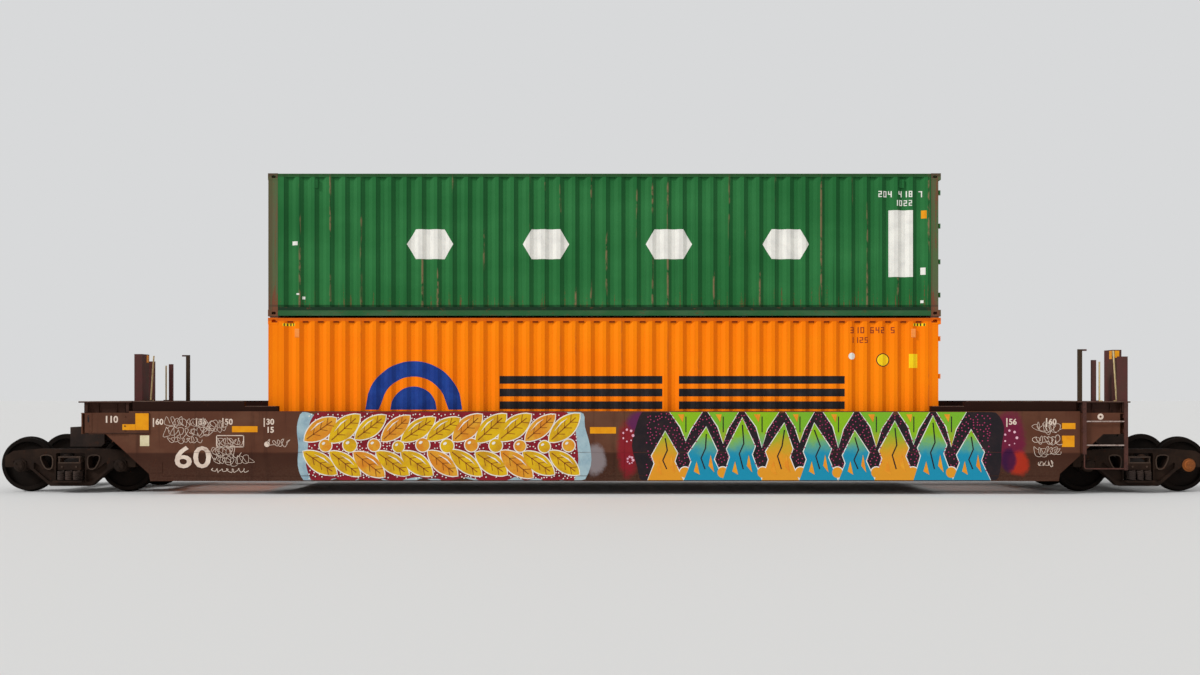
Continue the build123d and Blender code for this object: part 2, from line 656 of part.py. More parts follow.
def end_frame(end):
    """Bulkhead, platform box, centre sill, side arm and the panels behind the ladder, plate by plate."""
    top = RAIL + PLATFORM_TOP
    bottom = RAIL + PLATFORM_BOTTOM
    plate_bottom = top - PLATFORM_PLATE
    bulkhead_top = RAIL + RAISED_TOP - BULKHEAD_DROP
    bulkhead_face = WELL_END + BULKHEAD_THICKNESS
    half_sill = CENTRE_SILL_WIDTH / 2
    panel_face = SHEET_INNER - SHEET_THICKNESS
    parts = [
        block(WELL_END, bulkhead_face, -HALF_WELL, HALF_WELL, RAIL + SILL_BOTTOM, bulkhead_top),
        block(bulkhead_face, SHEET_END, -HALF_WELL, HALF_WELL, plate_bottom, top),
        block(SHEET_END, PLATFORM_END, -SHEET_INNER, SHEET_INNER, plate_bottom, top),
    ]
    web_face = SHEET_END + BULKHEAD_THICKNESS
    end_web = PLATFORM_END - BULKHEAD_THICKNESS
    web_gap = RAIL + SOCKET_TOP + SOCKET_HEADROOM
    parts.append(block(end_web, PLATFORM_END, -half_sill, half_sill, web_gap, plate_bottom))
    for side in (-1, 1):
        parts.append(block(SHEET_END, web_face, side * half_sill, side * panel_face, bottom, plate_bottom))
        parts.append(block(end_web, PLATFORM_END, side * half_sill, side * panel_face, bottom, plate_bottom))
    stiffener_pitch = (HALF_WELL - half_sill) / (STIFFENER_COUNT / 2 + 1)
    for side in (-1, 1):
        for index in range(1, int(STIFFENER_COUNT / 2) + 1):
            y = side * (half_sill + index * stiffener_pitch)
            gusset = [
                (bulkhead_face, RAIL + SILL_BOTTOM),
                (bulkhead_face + STIFFENER_DEPTH, RAIL + SILL_BOTTOM + STIFFENER_DEPTH),
                (bulkhead_face + STIFFENER_DEPTH, plate_bottom),
                (bulkhead_face, plate_bottom),
            ]
            parts.append(side_plate(gusset, y - RIB_THICKNESS / 2, y + RIB_THICKNESS / 2))
    sill_bottom = RAIL + CENTRE_SILL_BOTTOM
    heel = [
        (bulkhead_face, sill_bottom - CENTRE_SILL_HEEL),
        (WELL_END + CENTRE_SILL_SLOPE_REACH, sill_bottom),
        (bulkhead_face, sill_bottom),
    ]
    parts.append(side_plate(heel, -half_sill, half_sill))
    parts.append(block(bulkhead_face, CENTRE_SILL_END, -half_sill, half_sill, sill_bottom, plate_bottom))
    rise = (PLATFORM_BOTTOM - SLOPE_FOOT) / (SLOPE_HEAD_REACH - SLOPE_FOOT_REACH)
    panel_foot = SLOPE_FOOT + (SHEET_REACH - SLOPE_FOOT_REACH) * rise
    panel_head = WELL_END + SLOPE_HEAD_REACH
    sloped = [
        (SHEET_END, RAIL + panel_foot),
        (panel_head, bottom),
        (panel_head, plate_bottom),
        (SHEET_END, plate_bottom),
    ]
    for side in (-1, 1):
        near_face = min(side * panel_face, side * SHEET_INNER)
        far_face = max(side * panel_face, side * SHEET_INNER)
        parts.append(side_plate(sloped, near_face, far_face))
        parts.append(block(panel_head, WELL_END + PANEL_REACH, near_face, far_face, bottom, plate_bottom))
    arm_outer = HALF_BODY - SHEET_THICKNESS + ARM_PROUD
    parts.append(block(SHEET_END, WELL_END + ARM_REACH, SHEET_INNER, arm_outer, RAIL + ARM_BOTTOM, top))
    return parts if end > 0 else [half_turn(part) for part in parts]


def connector_socket(closed_reach):
    """The socket casting: two cheeks, a floor, a round foot and the cross pin's bore."""
    half = CHEEK_SPREAD / 2
    top = RAIL + SOCKET_TOP
    foot_z = RAIL + SOCKET_FOOT
    outline = [
        (-closed_reach, foot_z, 0),
        (SOCKET_REACH - SOCKET_BEVEL, foot_z, CAST_ROUND),
        (SOCKET_REACH, foot_z + SOCKET_BEVEL, CAST_ROUND),
        (SOCKET_REACH, top - SOCKET_BEVEL, CAST_ROUND),
        (SOCKET_REACH - SOCKET_BEVEL, top, CAST_ROUND),
        (-closed_reach, top, 0),
    ]
    body = rounded_plate(outline, -half, half)
    slot_half = TONGUE_WIDTH / 2 + TONGUE_CLEARANCE
    slot_floor = RAIL + TONGUE_BOTTOM - TONGUE_CLEARANCE
    slot_end = SOCKET_REACH + CUT_MARGIN
    slot = block(-SOCKET_DEPTH, slot_end, -slot_half, slot_half, slot_floor, top + CUT_MARGIN)
    foot_bottom = BOWL_FLOOR + CENTRE_CLEARANCE
    foot_radius = BOWL_RADIUS - BOWL_WALL - TONGUE_CLEARANCE
    foot = Pos(0, 0, (foot_bottom + foot_z) / 2) * Cylinder(foot_radius, foot_z - foot_bottom)
    bore = cross_bar(0, PIN_Z, -half - CUT_MARGIN, half + CUT_MARGIN, CONNECTOR_PIN_RADIUS)
    return body - slot + foot - bore


def connector_tongue(length):
    """The tongue that reaches into the socket, with a round end about the cross pin."""
    half = TONGUE_WIDTH / 2
    radius = (TONGUE_TOP - TONGUE_BOTTOM) / 2
    shank = block(-length, 0, -half, half, RAIL + TONGUE_BOTTOM, RAIL + TONGUE_TOP)
    eye = cross_bar(0, PIN_Z, -half, half, radius)
    bore = cross_bar(0, PIN_Z, -half - CUT_MARGIN, half + CUT_MARGIN, CONNECTOR_PIN_RADIUS)
    return shank + eye - bore


def connector_pin():
    """The cross pin through the cheeks and the tongue."""
    half = CHEEK_SPREAD / 2
    return cross_bar(0, PIN_Z, -half, half, CONNECTOR_PIN_RADIUS - PIN_CLEARANCE)


def deck(end):
    """The crossover platform with its legs."""
    top = RAIL + RAISED_TOP
    bottom = top - DECK_THICKNESS
    leg_bottom = RAIL + PLATFORM_TOP
    half_leg = DECK_LEG / 2
    parts = [block(DECK_START, DECK_END, -HALF_DECK, HALF_DECK, bottom, top)]
    edge = HALF_DECK - DECK_LEG
    for x in (SHEET_END + DECK_LEG, PLATFORM_END - DECK_LEG):
        for y in (-edge, -edge / 3, edge / 3, edge):
            parts.append(block(x - half_leg, x + half_leg, y - half_leg, y + half_leg, leg_bottom, bottom))
    platform = joined(parts)
    return platform if end > 0 else half_turn(platform)


def ladder(far):
    """Two stiles, two rungs and a bent foot step at the right-hand corner of the near side."""
    face = -LADDER_FACE
    inner = face + STILE_THICKNESS
    rung_y = (face + inner) / 2
    half_stile = STILE_WIDTH / 2
    top = RAIL + RAISED_TOP
    parts = []
    for x, foot in ((LADDER_LEFT, STEP_ARM_TOP), (LADDER_RIGHT, STEP_HEIGHT)):
        parts.append(block(x - half_stile, x + half_stile, face, inner, RAIL + foot, top))
        for height in (PLATFORM_TOP - BRACKET_INSET, PLATFORM_BOTTOM + BRACKET_INSET):
            low = RAIL + height - BRACKET_HEIGHT / 2
            bracket_top = low + BRACKET_HEIGHT
            parts.append(block(x - half_stile, x + half_stile, inner, -SHEET_INNER, low, bracket_top))
    for height in RUNG_HEIGHTS:
        parts.append(long_bar(rung_y, RAIL + height, LADDER_LEFT, LADDER_RIGHT, RUNG_RADIUS))
    step_z = RAIL + STEP_HEIGHT + STILE_THICKNESS
    step_top = Vector(LADDER_LEFT, rung_y, RAIL + STEP_ARM_TOP + half_stile)
    step_heel = Vector(LADDER_LEFT, rung_y, step_z)
    step_end = Vector(LADDER_RIGHT, rung_y, step_z)
    step_path = FilletPolyline(step_top, step_heel, step_end, radius=STEP_BEND)
    step_section = Plane(step_top, z_dir=(0, 0, -1)) * Circle(RUNG_RADIUS)
    parts.append(sweep(step_section, path=step_path))
    frame = joined(parts)
    return half_turn(frame) if far else frame


def deck_post(row):
    """One upright post that stands on the deck."""
    setback, inset, length, width, drop = row
    x = DECK_END - setback
    y = inset - HALF_DECK
    top = RAIL + POST_TOP - drop
    return block(x - length / 2, x + length / 2, y - width / 2, y + width / 2, RAIL + RAISED_TOP, top)


def deck_rod(row):
    """One round handrail on its foot plate; its foot may stand out along the car."""
    setback, inset, lean, drop = row
    x = DECK_END - setback
    y = inset - HALF_DECK
    deck_top = RAIL + RAISED_TOP
    foot = Vector(x + lean, y, deck_top + RAIL_FOOT / 2)
    head = Vector(x, y, RAIL + POST_TOP - drop)
    rod = Solid.make_cylinder(ROD_RADIUS, (head - foot).length, Plane(foot, z_dir=head - foot))
    half_base = ROD_BASE / 2
    base_top = deck_top + RAIL_FOOT
    base = block(foot.X - half_base, foot.X + half_base, y - half_base, y + half_base, deck_top, base_top)
    return base + rod


def end_posts(far):
    """Posts and handrails on the deck beside the ladder."""
    solids = [deck_post(row) for row in (BOX_POST, CORNER_POST, THIN_POST)]
    setback, inset, length, width, drop = HOOK_POST
    hook_x = DECK_END - setback + length / 2
    hook_y = inset - HALF_DECK
    hook_top = RAIL + POST_TOP - drop
    hook = block(
        hook_x, hook_x + HOOK_LENGTH, hook_y - width / 2, hook_y + width / 2, hook_top - HOOK_DEPTH, hook_top
    )
    solids.append(deck_post(HOOK_POST) + hook)
    solids.append(deck_rod(UPRIGHT_ROD))
    solids.append(deck_rod(LEANING_ROD))
    return [half_turn(solid) for solid in solids] if far else solids


def slot_bar(length, width, depth):
    """A bar with round ends that cuts a slot; it runs along Z."""
    return extrude(SlotOverall(length, width), amount=depth / 2, both=True)


def corner_casting(x_sign, y_sign, z0):
    """A hollow corner casting with slots in its end, side, top and bottom."""
    x_out = x_sign * HALF_LONG
    x_in = x_sign * CASTING_X
    y_out = y_sign * HALF_WIDE
    y_in = y_sign * (HALF_WIDE - CASTING_WIDTH)
    z1 = z0 + CASTING_HEIGHT
    body = block(x_in, x_out, y_in, y_out, z0, z1)
    hollow = block(
        x_in + x_sign * CASTING_WALL,
        x_out - x_sign * CASTING_WALL,
        y_in + y_sign * CASTING_WALL,
        y_out - y_sign * CASTING_WALL,
        z0 + CASTING_CAP,
        z1 - CASTING_CAP,
    )
    hole_x = x_sign * (HALF_LONG - HOLE_FROM_END)
    hole_y = y_sign * (HALF_WIDE - HOLE_FROM_SIDE)
    middle = (z0 + z1) / 2
    through = Pos(hole_x, hole_y, middle) * slot_bar(HOLE_LENGTH, HOLE_WIDTH, CASTING_HEIGHT + 2 * CUT_MARGIN)
    face_slot = slot_bar(SIDE_HOLE_LENGTH, SIDE_HOLE_WIDTH, 2 * (CASTING_WALL + CUT_MARGIN))
    side_hole = Pos(hole_x, y_out, middle) * Rot(90, 0, 0) * face_slot
    end_hole = Pos(x_out, hole_y, middle) * Rot(0, 90, 0) * Rot(0, 0, 90) * face_slot
    return body - hollow - through - side_hole - end_hole


def wave(start, end, pitch, flat, slope, depth, outer):
    """Points of a trapezoid wave from start to end, first flat on the outer line."""
    count = int((end - start - flat) / pitch)
    margin = (end - start - count * pitch) / 2
    inner_flat = pitch - flat - 2 * slope
    points = [(start, outer)]
    for index in range(count):
        base = start + margin + index * pitch + flat / 2
        points.append((base, outer))
        points.append((base + slope, outer - depth))
        points.append((base + slope + inner_flat, outer - depth))
        points.append((base + 2 * slope + inner_flat, outer))
    points.append((end, outer))
    return points


def container_wall(side, z0, height):
    """A corrugated side wall hung under its top rail."""
    outer = HALF_WIDE - RAIL_INSET
    sheet_outer = outer - RAIL_INSET
    crest = wave(
        -CASTING_X,
        CASTING_X,
        CORRUGATION_PITCH,
        CORRUGATION_FLAT,
        CORRUGATION_SLOPE,
        CORRUGATION_DEPTH,
        sheet_outer,
    )
    back = [(x, y - SHEET_WALL) for x, y in reversed(crest)]
    rail_bottom = z0 + height - TOP_RAIL - RAIL_INSET * 2
    sheet = level_plate(crest + back, z0 + BASE_RAIL_TOP, rail_bottom)
    rail = block(-CASTING_X, CASTING_X, outer - TOP_RAIL, outer, rail_bottom, rail_bottom + TOP_RAIL)
    wall = sheet + rail
    return wall if side > 0 else across(wall)


def container_base(z0):
    """Two bottom rails and the cross members between them."""
    outer = HALF_WIDE - RAIL_INSET
    inner = outer - RAIL_THICKNESS
    solids = []
    for side in (-1, 1):
        rail = block(-CASTING_X, CASTING_X, side * inner, side * outer, z0 + BASE_LIFT, z0 + BASE_RAIL_TOP)
        solids.append(rail)
    bottom = z0 + CROSS_MEMBER_LIFT
    top = z0 + BASE_RAIL_TOP - FLOOR_THICKNESS
    half_member = CROSS_MEMBER_WIDTH / 2
    member = block(-half_member, half_member, -inner, inner, bottom, top)
    pitch = 2 * (CASTING_X - CROSS_MEMBER_WIDTH) / (CROSS_MEMBER_COUNT - 1)
    for index in range(CROSS_MEMBER_COUNT):
        solids.append(Pos(-CASTING_X + CROSS_MEMBER_WIDTH + index * pitch, 0, 0) * member)
    return solids


def container_floor(z0):
    """The plank floor on the cross members."""
    inner = HALF_WIDE - RAIL_INSET - RAIL_THICKNESS
    top = z0 + BASE_RAIL_TOP
    return block(-CASTING_X, CASTING_X, -inner, inner, top - FLOOR_THICKNESS, top)


def container_roof(z0, height):
    """The roof sheet between the top rails, with ridges across the container."""
    inner = HALF_WIDE - RAIL_INSET - TOP_RAIL
    top = z0 + height - ROOF_DROP
    crest = wave(-CASTING_X, CASTING_X, ROOF_PITCH, ROOF_FLAT, ROOF_SLOPE, ROOF_DEPTH, top)
    under = [(x, z - SHEET_WALL) for x, z in reversed(crest)]
    return side_plate(crest + under, -inner, inner)


def end_skeleton(x_sign, z0, height, post_face):
    """Two posts, four castings, a sill and a header of one end."""
    x_in = x_sign * CASTING_X
    x_face = x_sign * post_face
    outer = HALF_WIDE - RAIL_INSET
    casting_in = HALF_WIDE - CASTING_WIDTH
    top = z0 + height
    parts = []
    for side in (-1, 1):
        parts.append(corner_casting(x_sign, side, z0))
        parts.append(corner_casting(x_sign, side, top - CASTING_HEIGHT))
        post_inner = side * (outer - POST_WIDTH)
        parts.append(block(x_in, x_face, post_inner, side * outer, z0 + CASTING_HEIGHT, top - CASTING_HEIGHT))
    parts.append(block(x_in, x_face, -casting_in, casting_in, z0 + BASE_LIFT, z0 + CASTING_HEIGHT))
    parts.append(block(x_in, x_face, -casting_in, casting_in, top - CASTING_HEIGHT, top - ROOF_DROP))
    return parts


def front_end(z0, height):
    """The closed end: skeleton and upright corrugated panel."""
    post_face = HALF_LONG - RAIL_INSET * 2
    parts = end_skeleton(-1, z0, height, post_face)
    half = HALF_WIDE - RAIL_INSET - POST_WIDTH
    crest = wave(-half, half, END_PITCH, END_FLAT, END_SLOPE, END_DEPTH, post_face - END_PANEL_SETBACK)
    outline = [(-x, y) for y, x in crest] + [(-x + SHEET_WALL, y) for y, x in reversed(crest)]
    parts.append(level_plate(outline, z0 + CASTING_HEIGHT, z0 + height - CASTING_HEIGHT))
    return joined(parts)


def hinge_heights(z0, height):
    """Heights of the hinge middles of one door."""
    span = height - DOOR_SILL_TOP - CASTING_HEIGHT
    return [z0 + DOOR_SILL_TOP + share * span for share in HINGE_PLACES]


def rear_frame(z0, height):
    """The door end: skeleton with threshold and the hinge lugs with their pins."""
    face = HALF_LONG - DOOR_FACE_SETBACK
    parts = end_skeleton(1, z0, height, face)
    half = HALF_WIDE - RAIL_INSET - POST_WIDTH
    parts.append(block(CASTING_X, face, -half, half, z0 + CASTING_HEIGHT, z0 + DOOR_SILL_TOP - DOOR_GAP))
    pin_x = face + HINGE_OFFSET
    reach = HINGE_EYE_HEIGHT / 2 + HINGE_GAP
    end = reach + HINGE_LUG_HEIGHT
    for side in (-1, 1):
        pin_y = side * (HALF_WIDE - HINGE_PIN_SETBACK)
        y0 = pin_y - HINGE_EYE_RADIUS
        y1 = pin_y + HINGE_EYE_RADIUS
        for z in hinge_heights(z0, height):
            for low, high in ((z - end, z - reach), (z + reach, z + end)):
                parts.append(block(face, pin_x, y0, y1, low, high))
                parts.append(upright_bar(pin_x, pin_y, low, high, HINGE_EYE_RADIUS))
            parts.append(upright_bar(pin_x, pin_y, z - end, z + end, HINGE_PIN_RADIUS))
    return joined(parts)


def container_door(side, z0, height):
    """One door leaf with recessed panels, lock rods, handles and hinge blades."""
    face = HALF_LONG - DOOR_FACE_SETBACK
    opening = HALF_WIDE - RAIL_INSET - POST_WIDTH
    y_inner = LEAF_SPLIT / 2
    y_outer = opening - DOOR_GAP
    bottom = z0 + DOOR_SILL_TOP
    top = z0 + height - CASTING_HEIGHT - DOOR_GAP
    leaf = block(face - DOOR_THICKNESS, face, y_inner, y_outer, bottom, top)
    row = (top - bottom - DOOR_MARGIN) / RECESS_ROWS
    recess_in = face - RECESS_DEPTH
    for index in range(RECESS_ROWS):
        z = bottom + DOOR_MARGIN + index * row
        y0 = y_inner + DOOR_MARGIN
        y1 = y_outer - DOOR_MARGIN
        leaf = leaf - block(recess_in, face + CUT_MARGIN, y0, y1, z, z + row - DOOR_MARGIN)
    rod_x = face + LOCK_ROD_RADIUS + LOCK_ROD_STAND
    half_guide = GUIDE_WIDTH / 2
    half_handle = HANDLE_THICKNESS / 2
    handle_z = z0 + HANDLE_HEIGHT
    for share in LOCK_ROD_PLACES:
        y = y_inner + share * (y_outer - y_inner)
        leaf = leaf + upright_bar(rod_x, y, bottom + LOCK_ROD_END, top - LOCK_ROD_END, LOCK_ROD_RADIUS)
        for index in range(RECESS_ROWS + 1):
            z = bottom + DOOR_MARGIN / 2 + index * row - GUIDE_HEIGHT / 2
            guide = block(face, rod_x + GUIDE_PROUD, y - half_guide, y + half_guide, z, z + GUIDE_HEIGHT)
            leaf = leaf + guide
        handle_low = handle_z - HANDLE_WIDTH / 2
        handle_top = handle_low + HANDLE_WIDTH
        y0 = y - HANDLE_LENGTH
        leaf = leaf + block(rod_x - half_handle, rod_x + half_handle, y0, y, handle_low, handle_top)
    pin_x = face + HINGE_OFFSET
    pin_y = HALF_WIDE - HINGE_PIN_SETBACK
    half_eye = HINGE_EYE_HEIGHT / 2
    eye_inner = pin_y - HINGE_EYE_RADIUS
    for z in hinge_heights(z0, height):
        low = z - half_eye
        high = z + half_eye
        blade = block(face, face + BLADE_THICKNESS, pin_y - BLADE_LENGTH, eye_inner + BLADE_LAP, low, high)
        link = block(face, pin_x, eye_inner, eye_inner + EYE_WALL, low, high)
        eye = upright_bar(pin_x, pin_y, low, high, HINGE_EYE_RADIUS)
        bore_radius = HINGE_PIN_RADIUS + HINGE_CLEARANCE
        bore = upright_bar(pin_x, pin_y, low - CUT_MARGIN, high + CUT_MARGIN, bore_radius)
        leaf = leaf + blade + (link + eye - bore)
    return leaf if side > 0 else across(leaf)


def build_container(name, z0, height):
    """One container as its real panels, frames and doors."""
    add(name + "_base_frame", container_base(z0))
    add(name + "_floor", [container_floor(z0)])
    add(name + "_wall_near", [container_wall(-1, z0, height)])
    add(name + "_wall_far", [container_wall(1, z0, height)])
    add(name + "_roof", [container_roof(z0, height)])
    add(name + "_front_end", [front_end(z0, height)])
    add(name + "_rear_frame", [rear_frame(z0, height)])
    add(name + "_door_near", [container_door(-1, z0, height)])
    add(name + "_door_far", [container_door(1, z0, height)])


def box_connectors(z0):
    """Four twist locks between the castings of the two containers."""
    solids = []
    x = HALF_LONG - HOLE_FROM_END
    y = HALF_WIDE - HOLE_FROM_SIDE
    half_length = LOCK_PLATE_LENGTH / 2
    half_width = LOCK_PLATE_WIDTH / 2
    plate = block(-half_length, half_length, -half_width, half_width, z0, z0 + STACK_GAP)
    lock = slot_bar(HOLE_LENGTH - LOCK_PLAY, HOLE_WIDTH - LOCK_PLAY, STACK_GAP + 2 * CASTING_CAP)
    connector = plate + Pos(0, 0, z0 + STACK_GAP / 2) * lock
    for x_sign in (-1, 1):
        for y_sign in (-1, 1):
            solids.append(Pos(x_sign * x, y_sign * y, 0) * connector)
    return solids


def air_reservoir():
    """The brake air tank with domed ends on two saddles, across the left platform."""
    x = -(DECK_START + DECK_END) / 2
    floor = RAIL + PLATFORM_TOP
    z = floor + SADDLE_HEIGHT + RESERVOIR_RADIUS
    half = RESERVOIR_LENGTH / 2
    tank = cross_bar(0, 0, -half, half, RESERVOIR_RADIUS)
    tank = fillet(tank.edges().filter_by(GeomType.CIRCLE), RESERVOIR_DOME)
    tank = Pos(x, 0, z) * tank
    half_length = SADDLE_LENGTH / 2
    for side in (-1, 1):
        y = side * (half - 2 * SADDLE_WIDTH)
        y0 = y - SADDLE_WIDTH / 2
        tank = tank + block(x - half_length, x + half_length, y0, y0 + SADDLE_WIDTH, floor, z)
    return tank


build_truck("truck_left", -TRUCK_X)
build_truck("truck_right", TRUCK_X)
wheelset_places = [
    -TRUCK_X - WHEELBASE / 2,
    -TRUCK_X + WHEELBASE / 2,
    TRUCK_X - WHEELBASE / 2,
    TRUCK_X + WHEELBASE / 2,
]
for number, place in enumerate(wheelset_places, start=1):
    build_wheelset(number, place)

add("side_sill_near", side_sill(-1))
add("side_sill_far", side_sill(1))
add("well_floor", well_floor())
add("end_frame_left", end_frame(-1))
add("end_frame_right", end_frame(1))
add("connector_tongue", [Pos(-TRUCK_X, 0, 0) * half_turn(connector_tongue(TRUCK_X - CENTRE_SILL_END))])
add("connector_pin", [Pos(-TRUCK_X, 0, 0) * connector_pin()])
add("connector_left_socket", [Pos(-TRUCK_X, 0, 0) * connector_socket(WELD_FACE_REACH)])
add("connector_right_socket", [Pos(TRUCK_X, 0, 0) * connector_socket(TRUCK_X - CENTRE_SILL_END)])
add("deck_left", [deck(-1)])
add("deck_right", [deck(1)])
add("ladder_near", [ladder(False)])
add("ladder_far", [ladder(True)])
add("end_posts_near", end_posts(False))
add("end_posts_far", end_posts(True))
add("air_reservoir", [air_reservoir()])

lower_z = FLOOR_Z
upper_z = lower_z + LOWER_HEIGHT + STACK_GAP
build_container("lower", lower_z, LOWER_HEIGHT)
build_container("upper", upper_z, UPPER_HEIGHT)
add("box_connectors", box_connectors(lower_z + LOWER_HEIGHT))

os.makedirs("parts", exist_ok=True)
for name, shapes in nodes.items():
    solids = [solid for shape in shapes for solid in shape.solids()]
    body = solids[0] if len(solids) == 1 else Compound(children=solids)
    export_step(body, "parts/" + name + ".step")
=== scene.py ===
"""Looks of a double-stack well car unit: finishes, marks, coil springs, gratings and small fittings."""
import logging
import math
import random
from dataclasses import dataclass
from enum import Enum
from functools import cache
from typing import Any, Callable, Iterable, Optional, Sequence, Union

import bmesh
import bpy
from mathutils import Matrix, Vector
from mathutils.geometry import tessellate_polygon


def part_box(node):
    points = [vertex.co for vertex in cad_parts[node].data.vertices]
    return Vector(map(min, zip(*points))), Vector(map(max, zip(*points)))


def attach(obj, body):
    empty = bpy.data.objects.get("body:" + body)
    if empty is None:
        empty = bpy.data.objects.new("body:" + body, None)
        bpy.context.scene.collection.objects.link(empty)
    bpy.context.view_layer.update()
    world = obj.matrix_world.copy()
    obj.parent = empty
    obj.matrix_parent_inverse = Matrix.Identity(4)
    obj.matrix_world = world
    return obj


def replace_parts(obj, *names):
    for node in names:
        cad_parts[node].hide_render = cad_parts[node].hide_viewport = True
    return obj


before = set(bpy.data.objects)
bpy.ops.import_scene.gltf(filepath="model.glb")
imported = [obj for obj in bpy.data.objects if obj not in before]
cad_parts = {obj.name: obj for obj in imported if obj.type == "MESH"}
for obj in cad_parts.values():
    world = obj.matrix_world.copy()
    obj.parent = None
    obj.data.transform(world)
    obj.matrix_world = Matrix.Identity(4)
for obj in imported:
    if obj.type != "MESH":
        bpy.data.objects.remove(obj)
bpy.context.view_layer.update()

LOG = logging.getLogger("well_car")
SMOOTH_BELOW = math.radians(35)
MERGE = 1e-6
FIGURE_SHARE = 0.7
PLATE = 0.0022
MARK = 0.0012
MARK_LAYER = 0.00004

Pair = tuple[float, float]
Triple = tuple[float, float, float]
Box = tuple[float, float, float, float]
Faces = list[tuple[int, ...]]
Layer = tuple[Any, Any]


def tone(red: int, green: int, blue: int) -> Triple:
    """The light that a colour reflects, from its parts as seen, 0 to 255."""
    return tuple(((step / 255 + 0.055) / 1.055) ** 2.4 if step > 10 else step / 3295 for step in (red, green, blue))


class Side(Enum):
    """The two long sides of the car, by the sign of Y."""

    NEAR = -1
    FAR = 1


class End(Enum):
    """The two ends of the car, by the sign of X."""

    LEFT = -1
    RIGHT = 1


def smooth(points: Sequence[Pair], closed: bool, steps: int) -> list[Pair]:
    """Round a line through its points.

    Args:
        points: The points that it passes through.
        closed: Whether it runs back to its start.
        steps: New points for each old one.

    Returns:
        The rounded line.
    """
    count = len(points)
    line: list[Pair] = []
    for span in range(count if closed else count - 1):
        picks = range(span - 1, span + 3)
        a, b, c, d = (Vector(points[pick % count if closed else min(max(pick, 0), count - 1)]) for pick in picks)
        for step in range(steps):
            t = step / steps
            spot = 2 * b + (c - a) * t + (2 * a - 5 * b + 4 * c - d) * t**2
            spot = 0.5 * (spot + (3 * b - a - 3 * c + d) * t**3)
            line.append((spot.x, spot.y))
    if not closed:
        line.append(tuple(points[-1]))
    return line


def oval(centre: Pair, width: float, height: float, count: int, lean: float = 0.0, power: float = 1.0) -> list[Pair]:
    """An oval outline.

    Args:
        centre: Its middle.
        width: Its full width.
        height: Its full height.
        count: Its points.
        lean: Degrees that it is turned.
        power: Below 1 makes it squarer.

    Returns:
        The outline.
    """
    along, rise = math.cos(math.radians(lean)), math.sin(math.radians(lean))
    points = []
    for index in range(count):
        across, up = math.cos(math.tau * index / count), math.sin(math.tau * index / count)
        x = math.copysign(abs(across) ** power, across) * width / 2
        z = math.copysign(abs(up) ** power, up) * height / 2
        points.append((centre[0] + x * along - z * rise, centre[1] + x * rise + z * along))
    return points


def inside(outline: Sequence[Pair], spot: Pair) -> bool:
    """Whether a spot lies inside an outline.

    Args:
        outline: The outline.
        spot: The spot.

    Returns:
        True when it does.
    """
    hit = False
    for (x0, z0), (x1, z1) in zip(outline, [*outline[1:], outline[0]]):
        if (z0 > spot[1]) != (z1 > spot[1]) and spot[0] < (x1 - x0) * (spot[1] - z0) / (z1 - z0) + x0:
            hit = not hit
    return hit


def level(line: Sequence[Pair], x: float) -> float:
    """The height of a line at X.

    Args:
        line: Its points, from left to right.
        x: The place along it.

    Returns:
        The height, that of its end past the end.
    """
    for (x0, z0), (x1, z1) in zip(line, line[1:]):
        if x0 <= x <= x1:
            return z0 + (z1 - z0) * (x - x0) / max(x1 - x0, 1e-9)
    return line[-1][1]


def edge_strips(box: Box, width: float) -> tuple[Box, ...]:
    """Four strips of a width inside the edges of a rectangle."""
    x0, z0, x1, z1 = box
    return (x0, z0, x0 + width, z1), (x1 - width, z0, x1, z1), (x0, z0, x1, z0 + width), (x0, z1 - width, x1, z1)


def strip_faces(count: int, closed: bool = False) -> Faces:
    """Faces of a strip with four points to each section: two on one edge, then two on the other.

    Args:
        count: The sections.
        closed: Whether the last runs into the first.

    Returns:
        The faces.
    """
    faces: Faces = []
    for index in range(count if closed else count - 1):
        a, b = 4 * index, 4 * ((index + 1) % count)
        faces += [(a, a + 2, b + 2, b), (a + 3, a + 1, b + 1, b + 3)]
        faces += [(a + 1, a, b, b + 1), (a + 2, a + 3, b + 3, b + 2)]
    if not closed:
        last = 4 * (count - 1)
        faces += [(0, 1, 3, 2), (last, last + 2, last + 3, last + 1)]
    return faces


def maths(operation: str, swapped: bool = False) -> Callable[..., "Value"]:
    """A method of Value that adds one Math node.

    Args:
        operation: What the node works out.
        swapped: Whether the terms stand the other way round.

    Returns:
        The method.
    """

    def method(self: "Value", *others: Any) -> "Value":
        """Add the node, with the value and the other term."""
        terms = (*others, self) if swapped else (self, *others)
        return self.recipe.node("ShaderNodeMath", {"operation": operation}, dict(enumerate(terms)))

    return method


class Value:
    """A number, colour or vector in a material, for use in Python expressions."""

    __add__ = __radd__ = maths("ADD")
    __mul__ = __rmul__ = maths("MULTIPLY")
    __sub__ = maths("SUBTRACT")
    __rsub__ = maths("SUBTRACT", True)
    __truediv__ = maths("DIVIDE")
    __rtruediv__ = maths("DIVIDE", True)
    __abs__ = maths("ABSOLUTE")
    sine = maths("SINE")
    larger = maths("MAXIMUM")
    smaller = maths("MINIMUM")

    def __init__(self, recipe: "Recipe", socket: bpy.types.NodeSocket) -> None:
        """Hold a recipe and one output socket in it."""
        self.recipe = recipe
        self.socket = socket

    def step(self, start: float, end: float) -> "Value":
        """A soft step from 0 at start to 1 at end."""
        inputs = {"Value": self, "From Min": start, "From Max": end}
        return self.recipe.node("ShaderNodeMapRange", {"interpolation_type": "SMOOTHSTEP"}, inputs)

    def between(self, low: float, high: float, soft: float = 0.002) -> "Value":
        """1 where the value lies between two limits, whose edges are soft."""
        return self.step(low, low + soft) - self.step(high - soft, high)


